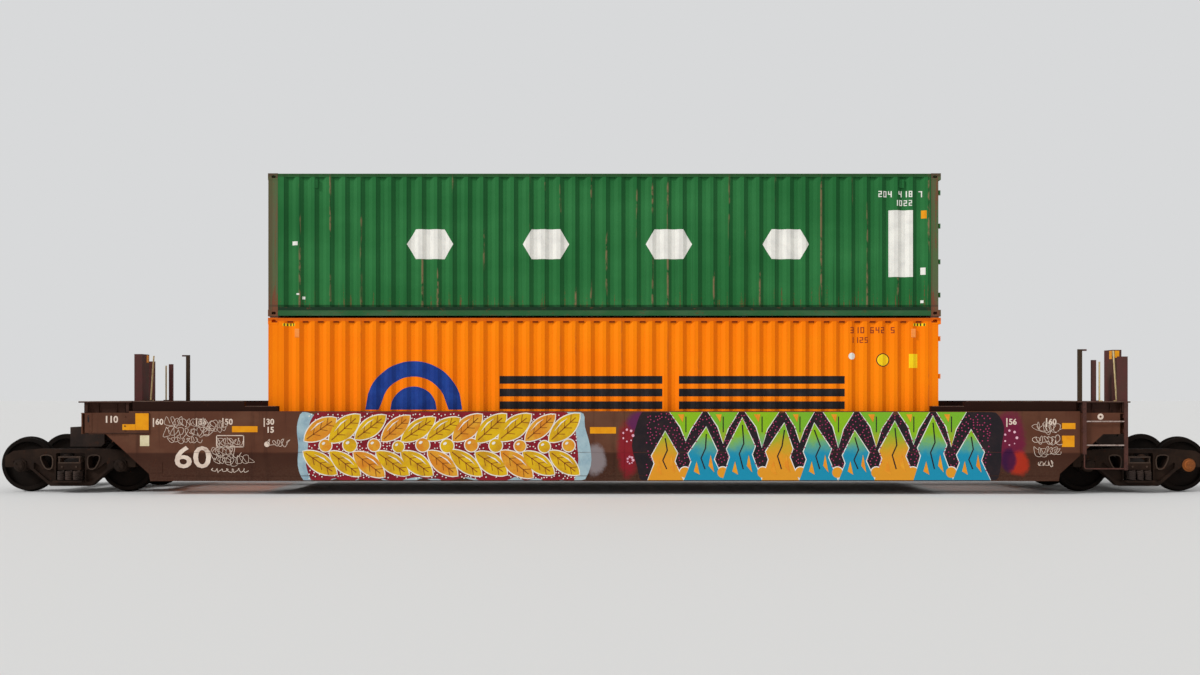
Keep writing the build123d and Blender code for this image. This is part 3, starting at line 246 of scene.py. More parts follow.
class Tree:
    """A node tree under construction."""

    def __init__(self, tree: bpy.types.NodeTree) -> None:
        """Hold the tree."""
        self.tree = tree

    def wrap(self, socket: bpy.types.NodeSocket) -> Any:
        """What a node's output is handed over as."""
        return socket

    def node(self, kind: str, settings: dict, inputs: dict, output: Union[int, str] = 0) -> Any:
        """Add any node.

        Args:
            kind: The node's type.
            settings: Its properties, set first.
            inputs: Values or links for its sockets, by name or number.
            output: The output socket that is wanted.

        Returns:
            That output.
        """
        made = self.tree.nodes.new(kind)
        for key, value in settings.items():
            setattr(made, key, value)
        for key, value in inputs.items():
            self.feed(made.inputs[key], value)
        return self.wrap(made.outputs[output])

    def feed(self, socket: bpy.types.NodeSocket, value: Any) -> None:
        """Link a value to a socket, or set it there when it is a constant.

        Args:
            socket: The input socket.
            value: A value, an output socket or a constant; a colour is 0 to 255 as it is seen.
        """
        source = value.socket if isinstance(value, Value) else value
        if isinstance(source, bpy.types.NodeSocket):
            self.tree.links.new(source, socket)
        else:
            socket.default_value = (*tone(*source), 1.0) if socket.type == "RGBA" else source


class Recipe(Tree):
    """One material under construction."""

    def __init__(self, name: str) -> None:
        """Start a material with one surface shader.

        Args:
            name: The material's name.
        """
        self.material = bpy.data.materials.new(name)
        self.material.use_nodes = True
        super().__init__(self.material.node_tree)
        self.tree.nodes.clear()
        self.surface = self.tree.nodes.new("ShaderNodeBsdfPrincipled")
        output = self.tree.nodes.new("ShaderNodeOutputMaterial")
        self.tree.links.new(self.surface.outputs[0], output.inputs["Surface"])
        self.place = self.node("ShaderNodeTexCoord", {}, {}, "Object")

    def wrap(self, socket: bpy.types.NodeSocket) -> Value:
        """An output as a value for expressions."""
        return Value(self, socket)

    def axis(self, letter: str) -> Value:
        """One coordinate of the point on the object, in metres, by its letter."""
        return self.node("ShaderNodeSeparateXYZ", {}, {0: self.place}, letter)

    def noise(self, factors: Triple, detail: float, rough: float, shift: float = 0.0) -> Value:
        """Cloudy noise.

        Args:
            factors: Cells a metre along X, Y and Z.
            detail: Octaves.
            rough: How strong the small octaves are.
            shift: Moves the pattern, so that two noises differ.

        Returns:
            Noise about 0.5.
        """
        place = {"Vector": self.place, "Scale": factors, "Location": (shift, shift * 1.7, shift * 0.6)}
        vector = self.node("ShaderNodeMapping", {}, place)
        inputs = {"Vector": vector, "Scale": 1.0, "Detail": detail, "Roughness": rough}
        return self.node("ShaderNodeTexNoise", {"noise_dimensions": "3D"}, inputs)

    def over(self, colour: Any, *layers: Layer) -> Value:
        """Lay colours over a colour, each where its mask is 1.

        Args:
            colour: The lowest colour.
            *layers: Pairs of a mask and a colour.

        Returns:
            The colour that shows.
        """
        for mask, tint in layers:
            colour = self.node("ShaderNodeMix", {"data_type": "RGBA"}, {0: mask, 6: colour, 7: tint}, 2)
        return colour

    def bump(self, height: Value, distance: float, strength: float = 1.0) -> Value:
        """A bumped normal, from a height of 0 to 1 and what 1 stands for in metres."""
        return self.node("ShaderNodeBump", {}, {"Height": height, "Distance": distance, "Strength": strength})

    def done(
        self, colour: Any, rough: Any, normal: Optional[Value] = None, gloss: float = 0.5, metal: float = 0.0
    ) -> bpy.types.Material:
        """Feed the surface shader and hand over the material.

        Args:
            colour: Its colour.
            rough: Its roughness.
            normal: Its bumped normal.
            gloss: How strongly it reflects.
            metal: 1 for bare metal.

        Returns:
            The material.
        """
        sockets = {"Base Color": colour, "Roughness": rough, "Specular IOR Level": gloss, "Metallic": metal}
        if normal is not None:
            sockets["Normal"] = normal
        for key, value in sockets.items():
            self.feed(self.surface.inputs[key], value)
        return self.material


@dataclass(frozen=True)
class BodyPaint:
    """The car's brown paint: faded and streaked, with dust low down, rust in patches, painted shade on the lower part
    of the side sheets and painted shade on the top chord.
    """

    name: str = "body_paint"
    base: Triple = (90, 53, 38)
    faded: Triple = (104, 68, 50)
    dark: Triple = (44, 20, 12)
    dust: Triple = (92, 66, 52)
    rust: Triple = (110, 58, 34)
    rust_share: float = 0.62
    chord: Triple = (27, 5, 0)
    low_edge: float = 0.76
    high_edge: float = 1.492
    sheet_face: float = 1.488
    sprays: tuple[tuple[Pair, Pair, Triple], ...] = ()
    roughness: float = 0.62
    gloss: float = 0.12

    def material(self) -> bpy.types.Material:
        """Build the material.

        Returns:
            The material.
        """
        recipe = Recipe(self.name)
        height, side = recipe.axis("Z"), recipe.axis("Y")
        cloud = recipe.noise((0.9, 0.9, 1.4), 5.0, 0.6)
        streak = recipe.noise((7.0, 7.0, 0.55), 4.0, 0.6, 3.0)
        fine = recipe.noise((34.0, 34.0, 34.0), 4.0, 0.65, 7.0)
        patch = recipe.noise((2.6, 2.6, 3.2), 6.0, 0.7, 11.0)
        rusty = (patch * 0.75 + fine * 0.25).step(self.rust_share, self.rust_share + 0.08)
        colour = recipe.over(
            self.base,
            (cloud.step(0.35, 0.7), self.faded),
            (streak.step(0.52, 0.78) * 0.55, self.dark),
            # painted shade: the lower, inward-leaning part of the sheets below low_edge is darkened
            ((1 - height.step(self.low_edge - 0.03, self.low_edge + 0.01)) * 0.68, self.dark),
            # painted shade: the recessed top chord above high_edge is darkened to the chord colour
            (height.step(self.high_edge, self.high_edge + 0.004) * 0.93, self.chord),
            ((1 - height.step(0.15, 0.75)) * fine.step(0.3, 0.75) * 0.5, self.dust),
            (rusty * 0.8, self.rust),
            (abs(side).step(1.5, 1.506) * 0.3, self.dark),
        )
        along = recipe.axis("X") * (side * -1000.0).larger(-1.0).smaller(1.0)
        sheet = abs(side).step(self.sheet_face - 0.004, self.sheet_face)
        for (x, z), (reach, tall), tint in self.sprays:
            across, up = (along - x) / reach, (height - z) / tall
            far = across * across + up * up + (patch - 0.5) * 1.2 + (fine - 0.5) * 0.5
            colour = recipe.over(colour, ((1 - far.step(0.3, 1.0)) * sheet * 0.9, tint))
        normal = recipe.bump(fine * 0.5 + rusty, 0.0012)
        return recipe.done(colour, self.roughness + rusty * 0.2 + cloud * 0.1, normal, self.gloss)


@dataclass(frozen=True)
class ContainerPaint:
    """A container's paint: chalky, with rain streaks, scrapes and rust along its low edges."""

    name: str
    node: str
    base: Triple
    faded: Triple
    deep: Triple
    rust: Triple
    head_tone: Triple
    # dash: colour of the painted shadow under the top rail and above the bottom rail
    dash: Triple
    scar: Triple
    streaks: float
    rust_share: float
    scars: float
    roughness: float = 0.5
    gloss: float = 0.08
    wall_face: float = 1.168
    fold_start: float = -5.802
    fold_pitch: float = 0.278
    recess_middle: float = 0.103
    rail_top: float = 0.17
    head_depth: float = 0.06
    dashes: float = 1.0
    shade: float = 0.4
    sheet: Optional[tuple[Triple, Triple]] = None
    sheet_reach: Pair = (1.075, 1.09)
    rod_face: float = 6.0585
    rod_places: Pair = (0.305, 0.929)
    rod_half: float = 0.017
    handle_level: float = 1.04
    zinc: Triple = (142, 138, 130)
    zinc_worn: Triple = (104, 88, 74)

    def material(self) -> bpy.types.Material:
        """Build the material.

        Returns:
            The material.
        """
        recipe = Recipe(self.name)
        low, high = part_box(self.node)
        head = high.z - low.z
        height, side = recipe.axis("Z") - low.z, abs(recipe.axis("Y"))
        cloud = recipe.noise((0.35, 0.35, 0.7), 4.0, 0.55, 2.0)
        streak = recipe.noise((14.0, 14.0, 0.35), 4.0, 0.6, 5.0)
        drip = recipe.noise((26.0, 26.0, 0.9), 3.0, 0.6, 13.0)
        fine = recipe.noise((48.0, 48.0, 48.0), 3.0, 0.6, 9.0)
        colour = recipe.over(
            self.base,
            (cloud.step(0.35, 0.68), self.faded),
            (streak.step(0.5, 0.82) * self.streaks, self.deep),
            (fine.step(0.62, 0.8) * 0.18, self.faded),
        )
        if self.sheet:
            front = (1 - recipe.axis("X").step(-5.95, -5.90)) * (1 - side.step(*self.sheet_reach))
            panel = recipe.over(self.sheet[0], (streak.step(0.42, 0.75), self.sheet[1]))
            colour = recipe.over(colour, (front * height.between(0.14, head - 0.09, 0.02), panel))
        foot = 1 - height.step(0.05, 0.85)
        rusty = (drip * 0.7 + fine * 0.3 + foot * 0.16).step(self.rust_share, self.rust_share + 0.07)
        wall = side.step(self.wall_face - 0.002, self.wall_face)
        layers = [(rusty * 0.85, self.rust), *self.folds(recipe, wall, height, head)]
        colour = recipe.over(colour, *layers, self.rods(recipe, side, fine, height, head))
        normal = recipe.bump(cloud * 0.6 + fine * 0.2 + rusty * 0.2, 0.004, 0.6)
        return recipe.done(colour, self.roughness + rusty * 0.3 + cloud * 0.15, normal, self.gloss)

    def rods(self, recipe: Recipe, side: Value, fine: Value, height: Value, head: float) -> Layer:
        """Bare zinc on the doors' lock rods and handles.

        Args:
            recipe: The material under construction.
            side: Distance from the middle plane.
            fine: Fine noise.
            height: Z above the container's foot.
            head: The container's height.

        Returns:
            The mask and the zinc.
        """
        rod = sum(side.between(place - self.rod_half, place + self.rod_half) for place in self.rod_places)
        handle = height.between(self.handle_level - self.rod_half, self.handle_level + self.rod_half)
        leaf = (1 - side.step(1.0, 1.01)) * height.between(0.17, head - 0.14)
        bare = (rod + handle).smaller(1.0) * leaf * recipe.axis("X").step(self.rod_face, self.rod_face + 0.001)
        return bare, recipe.over(self.zinc, (fine.step(0.45, 0.7), self.zinc_worn))

    def folds(self, recipe: Recipe, wall: Value, height: Value, head: float) -> tuple[Layer, ...]:
        """Painted shade on the slopes and folds of the side sheets, scars along the folds, painted shadow under the top
        rail and above the bottom rail, and the top rail's darker tone.

        Args:
            recipe: The material under construction.
            wall: 1 on the side sheets.
            height: Z above the container's foot.
            head: The container's height.

        Returns:
            The layers.
        """
        along = recipe.axis("X") - self.fold_start
        crest = abs((along * (math.pi / self.fold_pitch)).sine())
        slope = ((along - 0.034) * (math.tau / self.fold_pitch) + math.pi / 2).sine()
        turn = ((along - self.recess_middle) * (math.tau / self.fold_pitch) + math.pi / 2).sine()
        worn = recipe.noise((3.6, 3.6, 0.5), 3.0, 0.6, 21.0)
        torn = recipe.noise((9.0, 9.0, 5.0), 4.0, 0.65, 17.0)
        scars = (1 - crest.step(0.05, 0.30)) * wall * worn.step(0.56, 0.62) * torn.step(0.40, 0.56)
        drop = height - head
        under = drop.between(-self.head_depth - 0.03, -self.head_depth)
        rail = drop.step(-self.head_depth, -self.head_depth + 0.002)
        foot = height.between(self.rail_top - 0.004, self.rail_top + 0.045, 0.012)
        return (
            # painted shade: one slope of each corrugation and a line along one fold are darkened
            (slope.step(0.62, 0.8) * wall * self.shade, self.deep),
            ((1 - crest.step(0.02, 0.16)) * wall * 1.5 * self.shade, self.deep),
            (scars * self.scars, self.scar),
            # painted shadow: dashes in the recesses just under the top rail
            (turn.step(0.3, 0.45) * under * wall * self.dashes, self.dash),
            (rail * wall * (0.55 + torn * 0.45), self.head_tone),
            # painted shadow: a dark band on the sheets just above the bottom rail
            (foot * wall * 0.7, self.dash),
        )


@dataclass(frozen=True)
class PostPaint:
    """The deck posts: red-brown, with pale handrails, and an olive hook post."""

    name: str = "post_paint"
    base: Triple = (88, 46, 44)
    faded: Triple = (76, 50, 42)
    dark: Triple = (40, 23, 21)
    pale: Triple = (206, 186, 138)
    pale_worn: Triple = (158, 132, 92)
    olive: Triple = (52, 44, 24)
    rod_across: Pair = (1.268, 1.345)
    rod_along: Pair = (8.90, 9.27)
    hook_end: float = 8.58
    gloss: float = 0.2

    def material(self) -> bpy.types.Material:
        """Build the material.

        Returns:
            The material.
        """
        recipe = Recipe(self.name)
        cloud = recipe.noise((4.0, 4.0, 2.0), 4.0, 0.6)
        fine = recipe.noise((40.0, 40.0, 40.0), 4.0, 0.65, 5.0)
        along, across = abs(recipe.axis("X")), abs(recipe.axis("Y"))
        worn = recipe.over(self.pale, ((fine * 0.6 + cloud * 0.4).step(0.5, 0.62), self.pale_worn))
        colour = recipe.over(
            self.base,
            (cloud.step(0.35, 0.7), self.faded),
            (fine.step(0.55, 0.75) * 0.5, self.dark),
            (along.between(*self.rod_along) * across.between(*self.rod_across), worn),
            ((1 - along.step(self.hook_end - 0.002, self.hook_end)) * 0.8, self.olive),
        )
        return recipe.done(colour, 0.55 + fine * 0.2, recipe.bump(fine, 0.001), self.gloss)


@dataclass(frozen=True)
class LadderPaint:
    """The ladders: brown stiles and rungs worn pale."""

    name: str = "ladder_paint"
    base: Triple = (84, 50, 42)
    dark: Triple = (52, 32, 27)
    pale: Triple = (176, 158, 150)
    pale_worn: Triple = (122, 96, 86)
    rungs: tuple[float, ...] = (0.888, 1.313)
    reach: float = 0.02
    span: Pair = (8.594, 9.266)
    gloss: float = 0.2

    def material(self) -> bpy.types.Material:
        """Build the material.

        Returns:
            The material.
        """
        recipe = Recipe(self.name)
        cloud = recipe.noise((4.0, 4.0, 4.0), 4.0, 0.6)
        fine = recipe.noise((44.0, 44.0, 44.0), 4.0, 0.65, 5.0)
        height = recipe.axis("Z")
        rung = sum(height.between(place - self.reach, place + self.reach) for place in self.rungs)
        colour = recipe.over(
            self.base,
            ((cloud * 0.6 + fine * 0.4).step(0.4, 0.65), self.dark),
            (rung * abs(recipe.axis("X")).between(*self.span),
             recipe.over(self.pale, (fine.step(0.45, 0.7), self.pale_worn))),
        )
        return recipe.done(colour, 0.5 + fine * 0.2, recipe.bump(fine, 0.001), self.gloss)


@dataclass(frozen=True)
class BasePaint:
    """A container's base: painted side rails, dark sealed cross members between them."""

    name: str
    rail: Triple
    rail_worn: Triple
    under: Triple = (34, 31, 29)
    dust: Triple = (62, 50, 40)
    rust: Triple = (104, 60, 34)
    edge: float = 1.172
    gloss: float = 0.16
    lip: float = 99.0
    shadow: Triple = (14, 40, 24)

    def material(self) -> bpy.types.Material:
        """Build the material.

        Returns:
            The material.
        """
        recipe = Recipe(self.name)
        cloud = recipe.noise((1.2, 3.0, 3.0), 4.0, 0.6, 2.0)
        fine = recipe.noise((40.0, 40.0, 40.0), 4.0, 0.65, 5.0)
        drip = recipe.noise((5.0, 20.0, 14.0), 4.0, 0.65, 9.0)
        # painted shadow: the side rails above lip are darkened to the shadow tone
        dark = recipe.axis("Z").step(self.lip, self.lip + 0.006) * 0.85
        rail = recipe.over(self.rail, (cloud.step(0.4, 0.7), self.rail_worn), (dark, self.shadow))
        under = recipe.over(self.under, (fine.step(0.35, 0.75), self.dust))
        side = abs(recipe.axis("Y")).step(self.edge - 0.002, self.edge)
        rusty = (drip * 0.7 + fine * 0.3).step(0.56, 0.66)
        colour = recipe.over(under, (side, rail), (rusty * 0.75, self.rust))
        normal = recipe.bump(fine * 0.6 + rusty * 0.4, 0.002)
        return recipe.done(colour, 0.5 + rusty * 0.3, normal, self.gloss)


@dataclass(frozen=True)
class RoughMetal:
    """Dusty cast or rolled iron, with rust in the hollows."""

    name: str
    base: Triple
    dust: Triple
    rust: Triple
    rust_share: float = 0.56
    roughness: float = 0.75
    metallic: float = 0.1
    grain: float = 0.003
    gloss: float = 0.25
    cap: Triple = (150, 84, 36)
    cap_from: float = 99.0

    def material(self) -> bpy.types.Material:
        """Build the material.

        Returns:
            The material.
        """
        recipe = Recipe(self.name)
        cloud = recipe.noise((3.0, 3.0, 3.0), 5.0, 0.65)
        fine = recipe.noise((55.0, 55.0, 55.0), 4.0, 0.7, 4.0)
        patch = recipe.noise((9.0, 9.0, 6.0), 5.0, 0.7, 8.0)
        rusty = (patch * 0.8 + fine * 0.2).step(self.rust_share, self.rust_share + 0.1)
        capped = abs(recipe.axis("Y")).step(self.cap_from - 0.002, self.cap_from)
        colour = recipe.over(
            self.base,
            (cloud.step(0.3, 0.7), self.dust),
            (rusty * 0.8, self.rust),
            (capped * (1 - rusty * 0.5), self.cap),
        )
        normal = recipe.bump(fine * 0.7 + patch * 0.3, self.grain)
        return recipe.done(colour, self.roughness + fine * 0.15, normal, self.gloss, self.metallic)


@dataclass(frozen=True)
class MarkPaint:
    """Thin sprayed or stuck-on colour, worn through in specks."""

    name: str
    base: Triple
    second: Triple
    wear: Triple = (96, 56, 46)
    split: Optional[Pair] = None
    worn: float = 0.68
    roughness: float = 0.5
    gloss: float = 0.2

    def material(self) -> bpy.types.Material:
        """Build the material.

        Returns:
            The material.
        """
        recipe = Recipe(self.name)
        fine = recipe.noise((40.0, 40.0, 40.0), 4.0, 0.7, 6.0)
        cloud = recipe.noise((5.0, 5.0, 5.0), 4.0, 0.6, 1.0)
        if self.split is None:
            mixed = cloud.step(0.35, 0.75)
        else:
            mixed = (recipe.axis("Z") + (cloud - 0.5) * 0.35).step(*self.split)
        specks = (fine * 0.7 + cloud * 0.3).step(self.worn, self.worn + 0.05)
        colour = recipe.over(self.base, (mixed, self.second), (specks * 0.8, self.wear))
        return recipe.done(colour, self.roughness + fine * 0.15, recipe.bump(fine, 0.0006), self.gloss)


@dataclass(frozen=True)
class BoardWood:
    """Worn floor boards along the container."""

    name: str = "floor_boards"
    base: Triple = (150, 108, 70)
    dark: Triple = (96, 66, 42)
    joint: Triple = (40, 28, 20)
    board: float = 0.24

    def material(self) -> bpy.types.Material:
        """Build the material.

        Returns:
            The material.
        """
        recipe = Recipe(self.name)
        grain = recipe.noise((1.5, 38.0, 8.0), 5.0, 0.65)
        joint = 1 - abs((recipe.axis("Y") * (math.pi / self.board)).sine()).step(0.0, 0.06)
        colour = recipe.over(self.base, (grain.step(0.3, 0.72), self.dark), (joint, self.joint))
        return recipe.done(colour, 0.6 + grain * 0.2, recipe.bump(grain, 0.002))


class Paint(Enum):
    """Every finish of the car."""

    BODY = BodyPaint(
        sprays=(
            ((7.24, 0.98), (0.34, 0.62), (112, 24, 58)),
            ((7.40, 0.56), (0.24, 0.26), (176, 48, 26)),
            ((7.22, 0.62), (0.16, 0.26), (52, 18, 60)),
            ((0.42, 0.80), (0.24, 0.60), (138, 26, 40)),
            ((0.60, 1.30), (0.24, 0.20), (96, 34, 84)),
            ((-0.16, 0.62), (0.22, 0.34), (138, 128, 130)),
        )
    )
    DARK_BODY = BodyPaint(
        name="chord_paint", base=(50, 28, 21), faded=(64, 40, 31), dark=(28, 17, 13),
        rust_share=0.6, high_edge=99.0,
    )
    POST = PostPaint()
    LADDER = LadderPaint()
    ORANGE = ContainerPaint(
        "orange_paint", "lower_front_end", (255, 128, 0), (255, 136, 2), (212, 92, 2),
        (126, 62, 20), (204, 88, 16), (146, 56, 22), (196, 96, 30), 0.26, 0.76, 0.5, shade=0.26,
    )
    GREEN = ContainerPaint(
        "green_paint", "upper_front_end", (36, 104, 53), (48, 118, 64), (16, 62, 30),
        (112, 74, 48), (46, 74, 42), (14, 48, 26), (142, 116, 86), 0.42, 0.69, 0.85, dashes=0.2,
    )
    GREEN_FRAME = ContainerPaint(
        "green_frame_paint", "upper_front_end", (94, 98, 70), (82, 104, 66), (90, 66, 48),
        (122, 72, 54), (84, 66, 52), (84, 66, 52), (92, 56, 44), 0.5, 0.55, 0.0, 0.6,
        sheet=((36, 104, 53), (40, 78, 44)),
    )
    ORANGE_BASE = BasePaint("orange_base_paint", (240, 118, 4), (222, 104, 8))
    GREEN_BASE = BasePaint(
        "green_base_paint", (40, 92, 52), (62, 100, 66), lip=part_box("upper_front_end")[0].z + 0.105
    )
    BOARDS = BoardWood()
    # truck castings: dark iron, darkened further as painted shade under the car
    CASTING = RoughMetal("truck_casting", (30, 19, 13), (47, 32, 23), (64, 34, 18), gloss=0.15)
    # painted highlight: a lighter casting on the raised window lips, bolster flanges and bolts
    WORN_CASTING = RoughMetal("worn_casting", (60, 46, 38), (80, 63, 52), (80, 46, 28))
    CONNECTOR = RoughMetal("connector_casting", (46, 36, 32), (66, 50, 42), (86, 50, 32))
    # wheels: dark iron, darkened further as painted shade under the car
    WHEEL = RoughMetal("wheel_iron", (14, 9, 6), (26, 17, 12), (54, 29, 16), 0.64, gloss=0.12)
    AXLE = RoughMetal("axle_iron", (62, 42, 32), (82, 56, 40), (122, 70, 34), 0.5, cap_from=1.1025)
    DARK_AXLE = RoughMetal("dark_axle_iron", (34, 24, 18), (50, 36, 28), (64, 36, 20), 0.6, gloss=0.15)
    END_CAP = RoughMetal("end_cap_rust", (150, 86, 34), (118, 66, 32), (88, 48, 26), 0.58, 0.7, 0.1)
    SPRING = RoughMetal("spring_steel", (50, 40, 36), (72, 56, 48), (80, 46, 30), 0.62)
    LOCK = RoughMetal("galvanised_lock", (122, 118, 108), (92, 80, 66), (104, 64, 40), 0.55, 0.5, 0.6)
    DECK_STEEL = RoughMetal("deck_steel", (150, 136, 120), (118, 100, 86), (120, 72, 46), 0.54, 0.6, 0.4)
    REFLECTOR = MarkPaint("reflector", (236, 158, 10), (222, 138, 4), roughness=0.3, worn=0.72)
    CHALK = MarkPaint("mark_white", (232, 214, 198), (206, 184, 168), worn=0.6)
    SIGN_YELLOW = MarkPaint("sign_yellow", (255, 220, 20), (255, 206, 10), worn=0.82)
    PALE_ORANGE = MarkPaint("vent_orange", (252, 154, 72), (232, 128, 56), (160, 84, 40))
    BROWN_MARK = MarkPaint("mark_brown", (150, 58, 20), (130, 50, 20), (214, 110, 20), worn=0.7)
    # painted highlight: pale strips laid along the top edges of the decks and chords
    EDGE_WEAR = MarkPaint("worn_edge", (110, 88, 77), (76, 56, 47), worn=0.5)
    BLACK_MARK = MarkPaint("mark_black", (24, 20, 22), (40, 34, 34), worn=0.74)
    WHITE = MarkPaint("spray_white", (238, 236, 228), (222, 220, 214), worn=0.72)
    YELLOW = MarkPaint("spray_yellow", (222, 180, 14), (196, 144, 20), worn=0.74)
    AMBER = MarkPaint("spray_amber", (214, 132, 30), (226, 172, 48), worn=0.74)
    OCHRE = MarkPaint("spray_ochre", (150, 84, 20), (126, 66, 18), worn=0.74)
    DARK_RED = MarkPaint("spray_red", (140, 22, 38), (112, 16, 30), worn=0.7)
    PALE_BLUE = MarkPaint("spray_pale_blue", (164, 190, 198), (132, 162, 178), worn=0.62)
    LIME_TEAL = MarkPaint("spray_lime_teal", (18, 142, 176), (136, 186, 24), split=(0.68, 1.12), worn=0.74)
    LIME_ORANGE = MarkPaint(
        "spray_lime_orange", (226, 152, 34), (120, 180, 40), split=(0.62, 1.22), worn=0.74
    )
    HOT_ORANGE = MarkPaint("spray_orange", (228, 140, 32), (238, 168, 40), worn=0.74)
    INK = MarkPaint("spray_black", (28, 22, 28), (44, 30, 34), worn=0.66)
    PINK = MarkPaint("spray_pink", (236, 190, 204), (214, 150, 178), worn=0.7)
    MAGENTA = MarkPaint("spray_magenta", (176, 60, 104), (150, 40, 90), worn=0.72)
    BLUE = MarkPaint("mark_blue", (16, 52, 132), (24, 66, 150), (224, 120, 20), worn=0.76)
    CREAM = MarkPaint("blank_cream", (226, 214, 178), (204, 190, 150), worn=0.66)
    RUBBER = MarkPaint("door_rubber", (30, 30, 30), (48, 46, 44), (70, 66, 60), worn=0.62)


@cache
def coated(paint: Paint) -> bpy.types.Material:
    """The material of a finish, built once."""
    return paint.value.material()


def dress(nodes: Iterable[str], paint: Paint) -> None:
    """Give carried-over nodes their finish.

    Args:
        nodes: The nodes' names.
        paint: The finish.
    """
    for name in nodes:
        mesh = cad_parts[name].data
        mesh.materials.clear()
        mesh.materials.append(coated(paint))
        LOG.info("%s dressed in %s", name, paint.value.name)


def stand(name: str, data: Any) -> bpy.types.Object:
    """A new object in the scene, at the origin.

    Args:
        name: Its name.
        data: Its mesh, curve, lamp or lens.

    Returns:
        The object.
    """
    made = bpy.data.objects.new(name, data)
    bpy.context.scene.collection.objects.link(made)
    return made


def plain_mesh(holder: bpy.types.Object) -> bpy.types.Mesh:
    """Turn what an object shows into a plain mesh, and remove the object.

    Args:
        holder: The object.

    Returns:
        The mesh.
    """
    graph = bpy.context.evaluated_depsgraph_get()
    mesh = bpy.data.meshes.new_from_object(holder.evaluated_get(graph), depsgraph=graph)
    holder.modifiers.clear()
    bpy.data.objects.remove(holder)
    return mesh


def middle_x(node: str) -> float:
    """X of the middle of a node."""
    low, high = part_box(node)
    return (low.x + high.x) / 2


def finish_mesh(
    name: str, mesh: bpy.types.Mesh, paint: Paint, body: str = "car", slot: str = "body_brown", rounded: bool = False
) -> bpy.types.Object:
    """Turn a mesh into a piece with outward faces.

    Args:
        name: The piece's name.
        mesh: Its mesh, in the row frame.
        paint: Its finish.
        body: The body it rides on.
        slot: The record's material slot; not used.
        rounded: Whether its gentle edges are shaded smooth.

    Returns:
        The object.
    """
    made = bmesh.new()
    made.from_mesh(mesh)
    bmesh.ops.remove_doubles(made, verts=made.verts[:], dist=MERGE)
    bmesh.ops.recalc_face_normals(made, faces=made.faces[:])
    if rounded:
        for face in made.faces:
            face.smooth = True
        for edge in made.edges:
            edge.smooth = len(edge.link_faces) == 2 and edge.calc_face_angle(0.0) < SMOOTH_BELOW
    made.to_mesh(mesh)
    made.free()
    mesh.materials.clear()
    mesh.materials.append(coated(paint))
    piece = stand(name, mesh)
    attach(piece, body)
    LOG.info("%s: %d faces on %s", name, len(mesh.polygons), body)
    return piece


